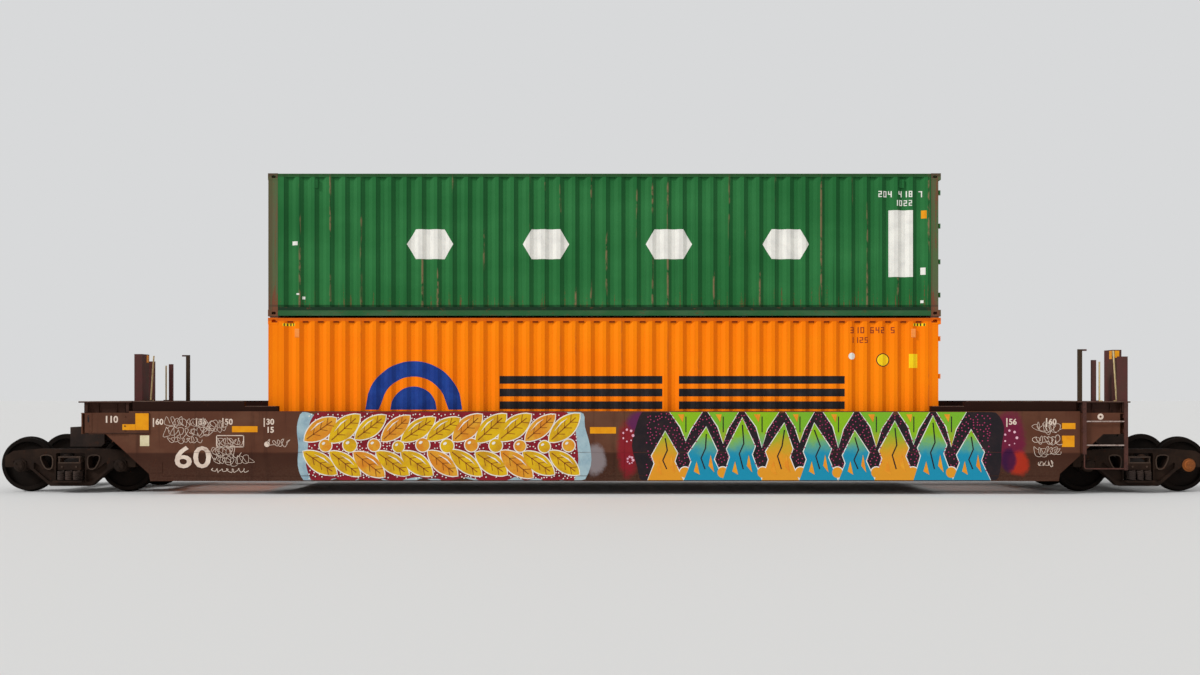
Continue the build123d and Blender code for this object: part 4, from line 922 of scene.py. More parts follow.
class Solid:
    """A mesh made from closed pieces, handed over as one object."""

    def __init__(self) -> None:
        """Start empty."""
        self.verts: list[Vector] = []
        self.faces: Faces = []

    def add(self, points: Iterable[Sequence[float]], faces: Iterable[Sequence[int]]) -> None:
        """Add points and the faces between them.

        Args:
            points: The points.
            faces: The faces, by the points' numbers.
        """
        base = len(self.verts)
        self.verts.extend(Vector(point) for point in points)
        self.faces.extend(tuple(base + index for index in face) for face in faces)

    def box(self, corner: Sequence[float], other: Sequence[float], bevel: float = 0.0) -> None:
        """Add a box, with its edges cut when a bevel is given.

        Args:
            corner: One corner.
            other: The corner across the box from it.
            bevel: Width of the cut along each edge.
        """
        low, high = (tuple(map(pick, corner, other)) for pick in (min, max))
        made = bmesh.new()
        bmesh.ops.create_cube(made, size=1.0)
        for vert in made.verts:
            vert.co = Vector(low[i] + (vert.co[i] + 0.5) * (high[i] - low[i]) for i in range(3))
        if bevel:
            bmesh.ops.bevel(made, geom=made.edges[:], offset=bevel, segments=1, affect="EDGES")
        made.verts.index_update()
        self.add([vert.co.copy() for vert in made.verts], [[v.index for v in face.verts] for face in made.faces])
        made.free()

    def prism(self, outline: Sequence[Pair], start: float, end: float, across_x: bool = False) -> None:
        """Add a flat plate with a free outline.

        Args:
            outline: Corners, as X and Z, or as Y and Z for a plate across X.
            start: Where it starts along Y or X.
            end: Where it ends.
            across_x: Whether it lies across X.
        """
        count = len(outline)
        points = [(d, a, b) if across_x else (a, d, b) for d in (start, end) for a, b in outline]
        loops = tessellate_polygon([[Vector((*point, 0.0)) for point in outline]])
        faces: list[Sequence[int]] = [tuple(loop) for loop in loops]
        faces += [tuple(index + count for index in reversed(loop)) for loop in loops]
        faces += [(i, (i + 1) % count, (i + 1) % count + count, i + count) for i in range(count)]
        self.add(points, faces)

    def tube(self, path: Sequence[Sequence[float]], radius: float, sides: int = 10) -> None:
        """Add a round bar along a path, closed at both ends.

        Args:
            path: The points of its middle line.
            radius: Its radius.
            sides: Flats round it.
        """
        line = [Vector(point) for point in path]
        last = len(line) - 1
        normal = (line[1] - line[0]).normalized().orthogonal().normalized()
        rings: list[Vector] = []
        for index, point in enumerate(line):
            ahead = (line[min(index + 1, last)] - line[max(index - 1, 0)]).normalized()
            normal = (normal - ahead * normal.dot(ahead)).normalized()
            binormal = ahead.cross(normal)
            for turn in range(sides):
                angle = math.tau * turn / sides
                rings.append(point + (normal * math.cos(angle) + binormal * math.sin(angle)) * radius)
        faces: list[Sequence[int]] = []
        for ring in range(last):
            for turn in range(sides):
                a, b = ring * sides + turn, ring * sides + (turn + 1) % sides
                faces.append((a, b, b + sides, a + sides))
        faces += [tuple(range(sides - 1, -1, -1)), tuple(range(last * sides, (last + 1) * sides))]
        self.add(rings, faces)

    def band(self, path: Sequence[Pair], width: float, front: float, back: float, closed: bool = False) -> None:
        """Add a flat strip along a path in X and Z.

        Args:
            path: The points of its middle line.
            width: Its width.
            front: Y of its front.
            back: Y of its back.
            closed: Whether it runs back to its start.
        """
        count = len(path)
        points = []
        for index, (middle, height) in enumerate(path):
            before = path[index - 1] if index or closed else path[0]
            after = path[(index + 1) % count] if index + 1 < count or closed else path[-1]
            along = (Vector(after) - Vector(before)).normalized()
            off = Vector((-along.y, along.x)) * width / 2
            for sign in (1, -1):
                x, z = middle + sign * off.x, height + sign * off.y
                points += [(x, front, z), (x, back, z)]
        self.add(points, strip_faces(count, closed))

    def text(
        self, body: str, height: float, place: Pair, face: Pair, weight: float = 0.0, stretch: float = 1.0
    ) -> None:
        """Add plain figures that face -Y.

        Args:
            body: The figures.
            height: Their height.
            place: X and Z of their lower left corner.
            face: Y of their front and of their back.
            weight: How much bolder than the plain font.
            stretch: How much wider than the plain font.
        """
        curve = bpy.data.curves.new("figures", "FONT")
        curve.body = body
        curve.size = height / FIGURE_SHARE
        curve.offset = weight
        curve.resolution_u = 3
        curve.extrude = abs(face[0] - face[1]) / 2
        plain = plain_mesh(stand("figures", curve))
        middle = (face[0] + face[1]) / 2
        self.add(
            [(place[0] + v.co.x * stretch, middle - v.co.z, place[1] + v.co.y) for v in plain.vertices],
            [tuple(polygon.vertices) for polygon in plain.polygons],
        )

    def turned(self) -> "Solid":
        """Turn all of it half round the middle of the car.

        Returns:
            The turned copy.
        """
        other = Solid()
        other.add([(-v.x, -v.y, v.z) for v in self.verts], self.faces)
        return other

    def both(self) -> "Solid":
        """Add its half-turned copy.

        Returns:
            Itself.
        """
        other = self.turned()
        self.add(other.verts, other.faces)
        return self

    def piece(self, name: str, paint: Paint, *place: str, rounded: bool = False) -> bpy.types.Object:
        """Make the object and put it on its body.

        Args:
            name: The piece's name.
            paint: Its finish.
            *place: Its body and its slot, where they aren't the car's.
            rounded: Whether its gentle edges are shaded smooth.

        Returns:
            The object.
        """
        mesh = bpy.data.meshes.new(name)
        mesh.from_pydata([tuple(v) for v in self.verts], [], self.faces)
        return finish_mesh(name, mesh, paint, *place, rounded=rounded)


class Forge(Tree):
    """A Geometry Nodes tree built in the script, run once and turned into a plain mesh."""

    def __init__(self, name: str) -> None:
        """Start a tree with one geometry input and output.

        Args:
            name: The tree's name.
        """
        super().__init__(bpy.data.node_groups.new(name, "GeometryNodeTree"))
        for way in ("INPUT", "OUTPUT"):
            self.tree.interface.new_socket("Geometry", in_out=way, socket_type="NodeSocketGeometry")
        self.entry = self.tree.nodes.new("NodeGroupInput")
        self.exit = self.tree.nodes.new("NodeGroupOutput")
        self.values: dict[str, Any] = {}

    def size(self, name: str, value: Union[float, Vector]) -> bpy.types.NodeSocket:
        """Add a named input and remember its value.

        Args:
            name: The input's name.
            value: What the modifier will hold there.

        Returns:
            The socket inside the tree.
        """
        kind = "NodeSocketFloat" if isinstance(value, float) else "NodeSocketVector"
        made = self.tree.interface.new_socket(name, in_out="INPUT", socket_type=kind)
        self.values[made.identifier] = value
        return self.entry.outputs[name]

    def mesh(
        self, result: bpy.types.NodeSocket, paint: Paint, name: str, base: Optional[bpy.types.Mesh] = None
    ) -> bpy.types.Mesh:
        """Realize the instances, set the material and hand over a plain mesh.

        Args:
            result: The tree's last geometry.
            paint: The finish.
            name: The mesh's name.
            base: The mesh that the tree starts from, if any.

        Returns:
            The plain mesh.
        """
        real = self.node("GeometryNodeRealizeInstances", {}, {0: result})
        dressed = self.node("GeometryNodeSetMaterial", {}, {"Geometry": real, "Material": coated(paint)})
        self.feed(self.exit.inputs[0], dressed)
        carrier = stand(name + "_carrier", base or bpy.data.meshes.new(name + "_carrier"))
        modifier = carrier.modifiers.new(name, "NODES")
        modifier.node_group = self.tree
        for identifier, value in self.values.items():
            modifier[identifier] = value
        plain = plain_mesh(carrier)
        plain.name = name
        return plain


class Form(Enum):
    """What a repeated small piece is, by the flats round it."""

    BOLT = 6
    BAR = 0


@dataclass
class Repeat:
    """Copies of one small form at many places, made by a Geometry Nodes tree.

    A bolt stands on its spot and has a radius and a height. A bar is centred there and has three sides.
    """

    name: str
    form: Form
    size: tuple[float, ...]
    spots: Sequence[Triple]
    aims: Sequence[Triple] = ()

    def mesh(self, paint: Paint) -> bpy.types.Mesh:
        """Build the tree and run it.

        Args:
            paint: The finish.

        Returns:
            The plain mesh.
        """
        forge = Forge(self.name)
        if self.form is Form.BAR:
            copy = forge.node("GeometryNodeMeshCube", {}, {"Size": forge.size("Sides", Vector(self.size))})
        else:
            radius, height = forge.size("Radius", self.size[0]), forge.size("Height", self.size[1])
            inputs = {"Vertices": self.form.value, "Radius": radius, "Depth": height}
            plain = forge.node("GeometryNodeMeshCylinder", {}, inputs)
            half = forge.node("ShaderNodeMath", {"operation": "MULTIPLY"}, {0: height, 1: 0.5})
            lift = forge.node("ShaderNodeCombineXYZ", {}, {"Z": half})
            copy = forge.node("GeometryNodeTransform", {}, {"Geometry": plain, "Translation": lift})
        points = bpy.data.meshes.new(self.name + "_spots")
        points.from_pydata(self.spots, [], [])
        inputs = {"Points": forge.entry.outputs["Geometry"], "Instance": copy}
        if self.aims:
            layer = points.attributes.new("aim", "FLOAT_VECTOR", "POINT")
            for index, aim in enumerate(self.aims):
                layer.data[index].vector = aim
            aim = forge.node("GeometryNodeInputNamedAttribute", {"data_type": "FLOAT_VECTOR"}, {"Name": "aim"})
            inputs["Rotation"] = forge.node("FunctionNodeAlignRotationToVector", {"axis": "Z"}, {"Vector": aim})
        return forge.mesh(forge.node("GeometryNodeInstanceOnPoints", {}, inputs), paint, self.name, points)

    def piece(self, paint: Paint, *place: str) -> bpy.types.Object:
        """Make the object and put it on its body, which may be given with its slot."""
        return finish_mesh(self.name, self.mesh(paint), paint, *place)


class Pattern(Enum):
    """What a painted field shows."""

    GARLAND = "leaves in two rows with berries between them"
    RANGE = "pointed peaks and hanging spikes with round suns"


class Coats(Enum):
    """The finishes of a painted field, from its lowest coat to its highest."""

    WARM = (
        Paint.PALE_BLUE, Paint.DARK_RED, Paint.WHITE, Paint.YELLOW,
        Paint.AMBER, Paint.OCHRE, Paint.WHITE, Paint.WHITE,
    )
    COLD = (
        Paint.INK, Paint.INK, Paint.WHITE, Paint.LIME_TEAL,
        Paint.LIME_ORANGE, Paint.INK, Paint.HOT_ORANGE, Paint.MAGENTA,
    )


COAT_NAMES = ("halo", "base", "rim", "fill", "second", "accent", "glint", "spots")


@dataclass
class Figure:
    """One shape of a painted field with the strokes on it."""

    outline: list[Pair]
    strokes: list[tuple[list[Pair], float]]
    glints: list[list[Pair]]
    second: bool = False


@dataclass
class PaintedField:
    """A sprayed field on a side sheet: plain leaves or peaks in thin coats over a cloud."""

    name: str
    start: float
    end: float
    pattern: Pattern
    coats: Coats
    columns: int
    seed: int
    foot: float = 0.262
    head: float = 1.480
    face: float = -1.490
    coat: float = 0.0012
    lift: float = 0.00003
    sunk: float = 0.0006
    rim: float = 0.036
    spill: float = 0.10
    tries: int = 2600
    dot: float = 0.024
    dot_gap: float = 0.042

    def clip(self, outline: Iterable[Pair]) -> list[Pair]:
        """Keep an outline's points between the sheet's edges."""
        return [(x, min(max(z, self.foot), self.head)) for x, z in outline]

    def cloud(self, reach: float, dice: random.Random) -> list[Pair]:
        """One wavy outline round the whole field.

        Args:
            reach: How far it goes past the field's ends.
            dice: The field's own random numbers.

        Returns:
            Its outline.
        """
        x0, x1 = self.start - reach, self.end + reach
        middle, half = (self.foot + self.head) / 2, (self.head - self.foot) / 2
        points = []
        for hand in (1, -1):
            for index in range(24):
                share = index / 23
                x = x0 + (x1 - x0) * (share if hand > 0 else 1 - share)
                tall = half * (1.06 + dice.uniform(-0.16, 0.08))
                points.append((x + dice.uniform(-0.03, 0.03), middle - hand * tall))
            end = x1 if hand > 0 else x0
            points += [(end + hand * dice.uniform(0.05, 0.16), middle + hand * z) for z in (-0.35, 0.0, 0.35)]
        return self.clip(smooth(points, True, 3))

    def leaf(self, centre: Pair, length: float, width: float, lean: float) -> Figure:
        """A pointed leaf with its ribs.

        Args:
            centre: Its middle.
            length: From stalk to tip.
            width: Across its middle.
            lean: Degrees from level.

        Returns:
            The figure.
        """
        level_part, rise_part = math.cos(math.radians(lean)), math.sin(math.radians(lean))

        def spot(along: float, across: float) -> Pair:
            """A point of the leaf on the sheet."""
            x, z = centre[0] + along * level_part, centre[1] + along * rise_part
            return x - across * rise_part, z + across * level_part

        outline = []
        for hand in (1, -1):
            for index in range(12):
                share = index / 12 if hand > 0 else 1 - index / 12
                outline.append(spot((share - 0.5) * length, -hand * width / 2 * math.sin(math.pi * share) ** 0.75))
        strokes = [([spot(-0.42 * length, 0.0), spot(0.36 * length, 0.0)], 0.016)]
        for share in (-0.22, 0.0, 0.2):
            for hand in (1, -1):
                tip = spot((share + 0.13) * length, hand * width * 0.27)
                strokes.append(([spot(share * length, 0.0), tip], 0.011))
        corners = ((-0.24, 0.22), (0.02, 0.34), (0.22, 0.25), (0.02, 0.27))
        glint = [spot(share * length, width * rise) for share, rise in corners]
        return Figure(self.clip(outline), strokes, [self.clip(glint)])

    def garland(self, dice: random.Random) -> list[Figure]:
        """Leaves in two rows that lean against each other, with berries between them.

        Args:
            dice: The field's own random numbers.

        Returns:
            The figures.
        """
        pitch = (self.end - self.start) / self.columns
        figures = []
        for column in range(self.columns):
            x = self.start + (column + 0.5) * pitch
            for height, lean, row in ((1.19, 38, 0), (0.555, -38, 1)):
                spot = (x + dice.uniform(-0.03, 0.03), height + dice.uniform(-0.02, 0.02))
                size = (dice.uniform(0.68, 0.76), dice.uniform(0.30, 0.36))
                leaf = self.leaf(spot, *size, lean + dice.uniform(-5, 5))
                leaf.second = (column + row) % 3 == 0
                figures.append(leaf)
            size = dice.uniform(0.20, 0.25)
            centre = (x + pitch * 0.18, 0.875 + dice.uniform(-0.02, 0.02))
            shine = oval((centre[0] - size * 0.16, centre[1] + size * 0.18), size * 0.3, size * 0.2, 12, 30)
            figures.append(Figure(oval(centre, size, size, 20), [], [shine], column % 2 == 0))
        return figures

    def range(self, dice: random.Random) -> list[Figure]:
        """Peaks that stand on the lower edge, spikes that hang from the upper one, and suns.

        Args:
            dice: The field's own random numbers.

        Returns:
            The figures.
        """
        pitch = (self.end - self.start) / self.columns
        figures = []
        for column in range(self.columns):
            x = self.start + (column + 0.5) * pitch
            tip = x + dice.uniform(-0.08, 0.08)
            tall = dice.uniform(1.12, 1.42)
            half = pitch * dice.uniform(0.46, 0.54)
            notch = (self.foot + tall) / 2
            peak = [
                (x - half, self.foot), (x - half * 0.62, notch - 0.14), (x - half * 0.78, notch), (tip, tall),
                (x + half * 0.66, notch + 0.05), (x + half * 0.5, notch - 0.1), (x + half, self.foot),
            ]
            ridge = [(tip, tall - 0.12), (x + 0.03, notch + 0.1), (x - 0.05, notch - 0.08), (x + 0.02, self.foot + 0.2)]
            shines = [
                [(x - half * 0.5, 0.42), (x - half * 0.2, 0.36), (x - half * 0.36, 0.60)],
                [(x + half * 0.24, 0.52), (x + half * 0.52, 0.40), (x + half * 0.34, 0.72)],
            ]
            figures.append(Figure(peak, [(ridge, 0.022)], shines, column % 3 == 0))
            if column + 1 < self.columns:
                edge = x + pitch / 2 + dice.uniform(-0.03, 0.03)
                wide = pitch * dice.uniform(0.36, 0.44)
                foot = dice.uniform(0.84, 0.98)
                spike = [
                    (edge - wide, self.head), (edge + wide, self.head), (edge + wide * 0.3, 1.18),
                    (edge, foot), (edge - wide * 0.34, 1.22),
                ]
                sun = oval((edge + dice.uniform(-0.02, 0.02), 0.40), 0.19, 0.19, 20)
                figures.append(Figure(sun, [], [], True))
                shine = [(edge - wide * 0.5, 1.44), (edge - wide * 0.1, 1.44), (edge - wide * 0.2, 1.30)]
                figures.append(Figure(spike, [([(edge, 1.40), (edge, 1.12)], 0.018)], [shine], column % 2 == 1))
        return figures

    def build(self, turned: bool) -> None:
        """Lay the coats.

        Args:
            turned: Whether the field lies on the far side, turned half round the car.
        """
        dice = random.Random(self.seed)
        coats = {name: Solid() for name in COAT_NAMES}
        depth = {name: self.face - self.coat * (index + 1) for index, name in enumerate(COAT_NAMES)}
        back = self.face + self.sunk
        coats["halo"].prism(self.cloud(self.spill, dice), depth["halo"], back)
        coats["base"].prism(self.cloud(-self.spill, dice), depth["base"], back)
        figures = self.garland(dice) if self.pattern is Pattern.GARLAND else self.range(dice)
        for index, figure in enumerate(figures):
            lift = index * self.lift
            ring = Solid()
            ring.band(figure.outline, self.rim, depth["rim"] - lift, back, True)
            coats["rim"].add([(v.x, v.y, min(max(v.z, self.foot), self.head)) for v in ring.verts], ring.faces)
            coats["second" if figure.second else "fill"].prism(figure.outline, depth["fill"] - lift, back)
            for path, width in figure.strokes:
                coats["accent"].band(path, width, depth["accent"] - lift, back)
            for glint in figure.glints:
                coats["glint"].prism(glint, depth["glint"] - lift, back)
        for spot in self.scatter([figure.outline for figure in figures], dice):
            coats["spots"].prism(oval(spot, self.dot, self.dot, 8), depth["spots"], back)
        for (name, solid), paint in zip(coats.items(), self.coats.value):
            (solid.turned() if turned else solid).piece(self.name + "_" + name, paint)

    def scatter(self, outlines: Sequence[Sequence[Pair]], dice: random.Random) -> list[Pair]:
        """Places for dots where only the base coat shows.

        Args:
            outlines: The figures' outlines.
            dice: The field's own random numbers.

        Returns:
            The places.
        """
        kept: list[Vector] = []
        for _ in range(self.tries):
            spot = Vector((dice.uniform(self.start, self.end), dice.uniform(self.foot + 0.03, self.head - 0.03)))
            if any((spot - other).length < self.dot_gap for other in kept):
                continue
            near = min((spot - Vector(point)).length for line in outlines for point in line)
            if near > self.rim * 0.9 and not any(inside(line, (spot.x, spot.y)) for line in outlines):
                kept.append(spot)
        return [(spot.x, spot.y) for spot in kept]


@dataclass(frozen=True)
class Corrugation:
    """The trapezoid wave of a container's side sheets, seen from the near side."""

    reach: float = 5.918
    pitch: float = 0.278
    flat: float = 0.072
    slope: float = 0.068
    depth: float = 0.036
    outer: float = 1.213

    def corners(self) -> list[Pair]:
        """The wave's points from left to right, as X and the distance from the middle plane.

        Returns:
            The points.
        """
        count = int((2 * self.reach - self.flat) / self.pitch)
        margin = (2 * self.reach - count * self.pitch) / 2
        inner_flat = self.pitch - self.flat - 2 * self.slope
        points = [(-self.reach, self.outer)]
        for index in range(count):
            base = -self.reach + margin + index * self.pitch + self.flat / 2
            points.append((base, self.outer))
            points.append((base + self.slope, self.outer - self.depth))
            points.append((base + self.slope + inner_flat, self.outer - self.depth))
            points.append((base + 2 * self.slope + inner_flat, self.outer))
        return [*points, (self.reach, self.outer)]

    def mark(self, solid: Solid, low: Sequence[Pair], high: Sequence[Pair], proud: float = MARK) -> None:
        """Add a thin mark that follows the wave.

        Args:
            solid: Where it goes.
            low: Its lower edge as X and Z, from left to right.
            high: Its upper edge as X and Z, over the same width.
            proud: How far it stands out.
        """
        wave = self.corners()
        start, end = low[0][0], low[-1][0]
        stops = {x for x, _ in (*low, *high)} | {x for x, _ in wave if start < x < end}
        points = []
        for x in sorted(stops):
            y = -level(wave, x)
            for line in (low, high):
                z = level(line, x)
                points += [(x, y - proud, z), (x, y + proud / 2, z)]
        solid.add(points, strip_faces(len(stops)))

    def plate(self, solid: Solid, box: Box, proud: float = MARK) -> None:
        """Add a mark that is a rectangle.

        Args:
            solid: Where it goes.
            box: X and Z of its lower left and upper right corners.
            proud: How far it stands out.
        """
        x0, z0, x1, z1 = box
        self.mark(solid, [(x0, z0), (x1, z0)], [(x0, z1), (x1, z1)], proud)

    def figures(self, solid: Solid, body: str, x: float, z: float, height: float) -> None:
        """Add plain stencil figures made of straight strokes.

        Args:
            solid: Where they go.
            body: The figures; a space leaves a gap.
            x: X of their left end.
            z: Z of their foot.
            height: Their height.
        """
        strokes = {
            "0": "abcdef", "1": "bc", "2": "abged", "3": "abgcd", "4": "fgbc",
            "5": "afgcd", "6": "afgedc", "7": "abc", "8": "abcdefg", "9": "abcdfg", " ": "",
        }
        wide, bold = height * 0.56, height * 0.16
        half = (height - bold) / 2
        spans = {
            "a": (0.0, height - bold, wide, bold), "g": (0.0, half, wide, bold), "d": (0.0, 0.0, wide, bold),
            "f": (0.0, half, bold, half + bold), "e": (0.0, 0.0, bold, half + bold),
            "b": (wide - bold, half, bold, half + bold), "c": (wide - bold, 0.0, bold, half + bold),
        }
        for index, figure in enumerate(body):
            for order, stroke in enumerate(strokes[figure]):
                dx, dz, long, tall = spans[stroke]
                x0, z0 = x + index * height * 0.82 + dx, z + dz
                self.plate(solid, (x0, z0, x0 + long, z0 + tall), MARK + order * MARK_LAYER)

    def spot(self, solid: Solid, x: float, z: float, radius: float, proud: float = MARK) -> None:
        """Add a round mark.

        Args:
            solid: Where it goes.
            x: X of its middle.
            z: Z of its middle.
            radius: Its radius.
            proud: How far it stands out.
        """
        angles = [math.pi * (index / 12) for index in range(13)]
        low, high = (
            [(x - radius * math.cos(angle), z + hand * (radius * math.sin(angle))) for angle in angles]
            for hand in (-1, 1)
        )
        self.mark(solid, low, high, proud)

    def dome(self, solid: Solid, x: float, foot: float, radius: float, inner: float) -> None:
        """Add the upper half of a ring that stands on a level line.

        Args:
            solid: Where it goes.
            x: Its middle.
            foot: Z of the line.
            radius: Its outer radius.
            inner: Its inner radius.
        """
        across = [-radius + 2 * radius * index / 36 for index in range(37)]
        low, high = ([(x + a, foot + math.sqrt(max(r**2 - a**2, 0.0))) for a in across] for r in (inner, radius))
        self.mark(solid, low, high)


WAVE = Corrugation()


@dataclass
class Truck:
    """One three-piece truck: castings, coil springs, window lips and brake gear."""

    name: str
    coils: float = 5.0
    wire: float = 0.016
    coil_radius: float = 0.046
    pitch: float = 0.142
    seat_clearance: float = 0.001
    frame_face: float = 1.0835
    window: tuple[Pair, ...] = ((0.335, 0.668), (0.54, 0.668), (0.455, 0.456), (0.335, 0.456))
    lip: float = 0.014
    lip_width: float = 0.02
    flange_inner: float = 0.94
    flange_levels: Pair = (0.536, 0.642)
    flange_half: float = 0.205
    flange_thick: float = 0.024
    gusset: Box = (0.176, 0.55, 0.196, 0.65)
    bolt_place: Pair = (0.13, 0.48)
    bolt_size: Pair = (0.018, 0.012)
    bevel: float = 0.004
    rod_spread: float = 0.24
    rod_reach: float = 0.33
    rod_level: float = 0.373
    rod_radius: float = 0.014

    def springs(self) -> None:
        """Coil springs in two groups of nine, in place of the plain columns."""
        node = self.name + "_springs"
        low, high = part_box(node)
        centre = (low + high) / 2
        forge = Forge(self.name + "_coils")
        turns = forge.size("Turns", self.coils)
        radius = forge.size("Coil radius", self.coil_radius)
        wire = forge.size("Wire radius", self.wire)
        rise = forge.size("Height", high.z - low.z - 2 * self.wire - 2 * self.seat_clearance)
        inputs = {"Resolution": 12, "Rotations": turns, "Start Radius": radius, "End Radius": radius, "Height": rise}
        spiral = forge.node("GeometryNodeCurveSpiral", {}, inputs)
        inputs = {"Resolution": 6, "Radius": wire}
        section = forge.node("GeometryNodeCurvePrimitiveCircle", {"mode": "RADIUS"}, inputs)
        inputs = {"Curve": spiral, "Profile Curve": section, "Fill Caps": True}
        coil = forge.node("GeometryNodeCurveToMesh", {}, inputs)
        across = forge.size("Group span", 2 * self.pitch)
        inputs = {"Size X": across, "Size Y": across, "Vertices X": 3, "Vertices Y": 3}
        grid = forge.node("GeometryNodeMeshGrid", {}, inputs)
        group = forge.node("GeometryNodeInstanceOnPoints", {}, {"Points": grid, "Instance": coil})
        plain = forge.mesh(group, Paint.SPRING, node + "_coils")
        built = bmesh.new()
        y_middle = high.y - self.pitch - (self.coil_radius + self.wire)
        for side in Side:
            copy = plain.copy()
            foot = low.z + self.wire + self.seat_clearance
            copy.transform(Matrix.Translation((centre.x, side.value * y_middle, foot)))
            built.from_mesh(copy)
        built.to_mesh(plain)
        built.free()
        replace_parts(finish_mesh(node + "_coils", plain, Paint.SPRING, self.name, "spring_steel", True), node)

    def lips(self) -> None:
        """Cast lips round the side frames' windows."""
        centre = middle_x(self.name + "_side_frames")
        solid = Solid()
        for side in Side:
            face = side.value * self.frame_face
            for hand in (-1, 1):
                line = smooth([(centre + hand * x, z) for x, z in self.window], True, 3)
                solid.band(line, self.lip_width, face + side.value * self.lip, face - side.value * 0.004, True)
        solid.piece(self.name + "_window_lips", Paint.WORN_CASTING, self.name, "truck_casting")

    def bolster_ends(self) -> None:
        """Friction casting flanges above the bolster ends, with their bolt heads."""
        node = self.name + "_bolster"
        centre, reach = middle_x(node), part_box(node)[1].y
        solid = Solid()
        spots, aims = [], []
        for side in Side:
            y0, y1 = sorted((side.value * self.flange_inner, side.value * reach))
            for z in self.flange_levels:
                corner = (centre + self.flange_half, y1, z + self.flange_thick)
                solid.box((centre - self.flange_half, y0, z), corner, self.bevel)
            for hand in (-1, 1):
                x0, z0, x1, z1 = self.gusset
                solid.box((centre + hand * x0, y0, z0), (centre + hand * x1, y1 - 0.01, z1), self.bevel / 2)
                spots.append((centre + hand * self.bolt_place[0], side.value * reach, self.bolt_place[1]))
                aims.append((0.0, float(side.value), 0.0))
        solid.piece(node + "_flanges", Paint.WORN_CASTING, self.name, "truck_casting")
        bolts = Repeat(node + "_bolts", Form.BOLT, self.bolt_size, spots, aims)
        bolts.piece(Paint.WORN_CASTING, self.name, "truck_casting")

    def brake_rods(self) -> None:
        """Round pull rods between the brake beams, under the bolster."""
        centre = middle_x(self.name + "_brake_beams")
        solid = Solid()
        for y in (-self.rod_spread, self.rod_spread):
            ends = [(centre + hand * self.rod_reach, y, self.rod_level) for hand in (-1, 1)]
            solid.tube(ends, self.rod_radius)
        solid.piece(self.name + "_brake_rods", Paint.CASTING, self.name, "truck_casting", rounded=True)

    def build(self) -> None:
        """Dress the castings and add the small forms."""
        parts = ("_bolster", "_side_frames", "_adapters", "_brake_beams")
        dress([self.name + part for part in parts], Paint.CASTING)
        self.springs()
        self.lips()
        self.bolster_ends()
        self.brake_rods()


@dataclass
class Wheelset:
    """Two wheels on an axle with its end caps."""

    number: int
    rusty_number: int = 4
    bolts: int = 3
    plate_radius: float = 0.074
    plate_depth: float = 0.007
    sunk: float = 0.001
    flange_place: float = 1.0900
    flange_radius: float = 0.119
    flange_depth: float = 0.0128
    bolt_circle: float = 0.048
    bolt_radius: float = 0.014
    bolt_height: float = 0.012

    def build(self) -> None:
        """Dress the wheels and add end caps with their cap screws; one wheelset's are rusty."""
        number = str(self.number)
        place = ("wheelset_" + number, "axle_steel")
        rusty = self.number == self.rusty_number
        axle, cap = (Paint.AXLE, Paint.END_CAP) if rusty else (Paint.DARK_AXLE, Paint.DARK_AXLE)
        dress(["wheels_" + number], Paint.WHEEL)
        dress(["axle_" + number], axle)
        low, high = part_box("axle_" + number)
        middle = (low + high) / 2
        spots, aims = [], []
        plates = Solid()
        for side in Side:
            face = middle + Vector((0, side.value * ((high.y - low.y) / 2 - self.sunk), 0))
            out = Vector((0, side.value, 0))
            plates.tube([face, face + out * self.plate_depth], self.plate_radius, 24)
            flange = Vector((middle.x, side.value * self.flange_place, middle.z))
            plates.tube([flange, flange + out * self.flange_depth], self.flange_radius, 32)
            for index in range(self.bolts):
                angle = math.tau * index / self.bolts + math.pi / 6
                spot = face + out * (self.plate_depth - self.sunk)
                spot += Vector((math.cos(angle), 0, math.sin(angle))) * self.bolt_circle
                spots.append(tuple(spot))
                aims.append(tuple(out))
        plates.piece("cap_plates_" + number, cap, *place)
        size = (self.bolt_radius, self.bolt_height)
        Repeat("cap_screws_" + number, Form.BOLT, size, spots, aims).piece(axle, *place)


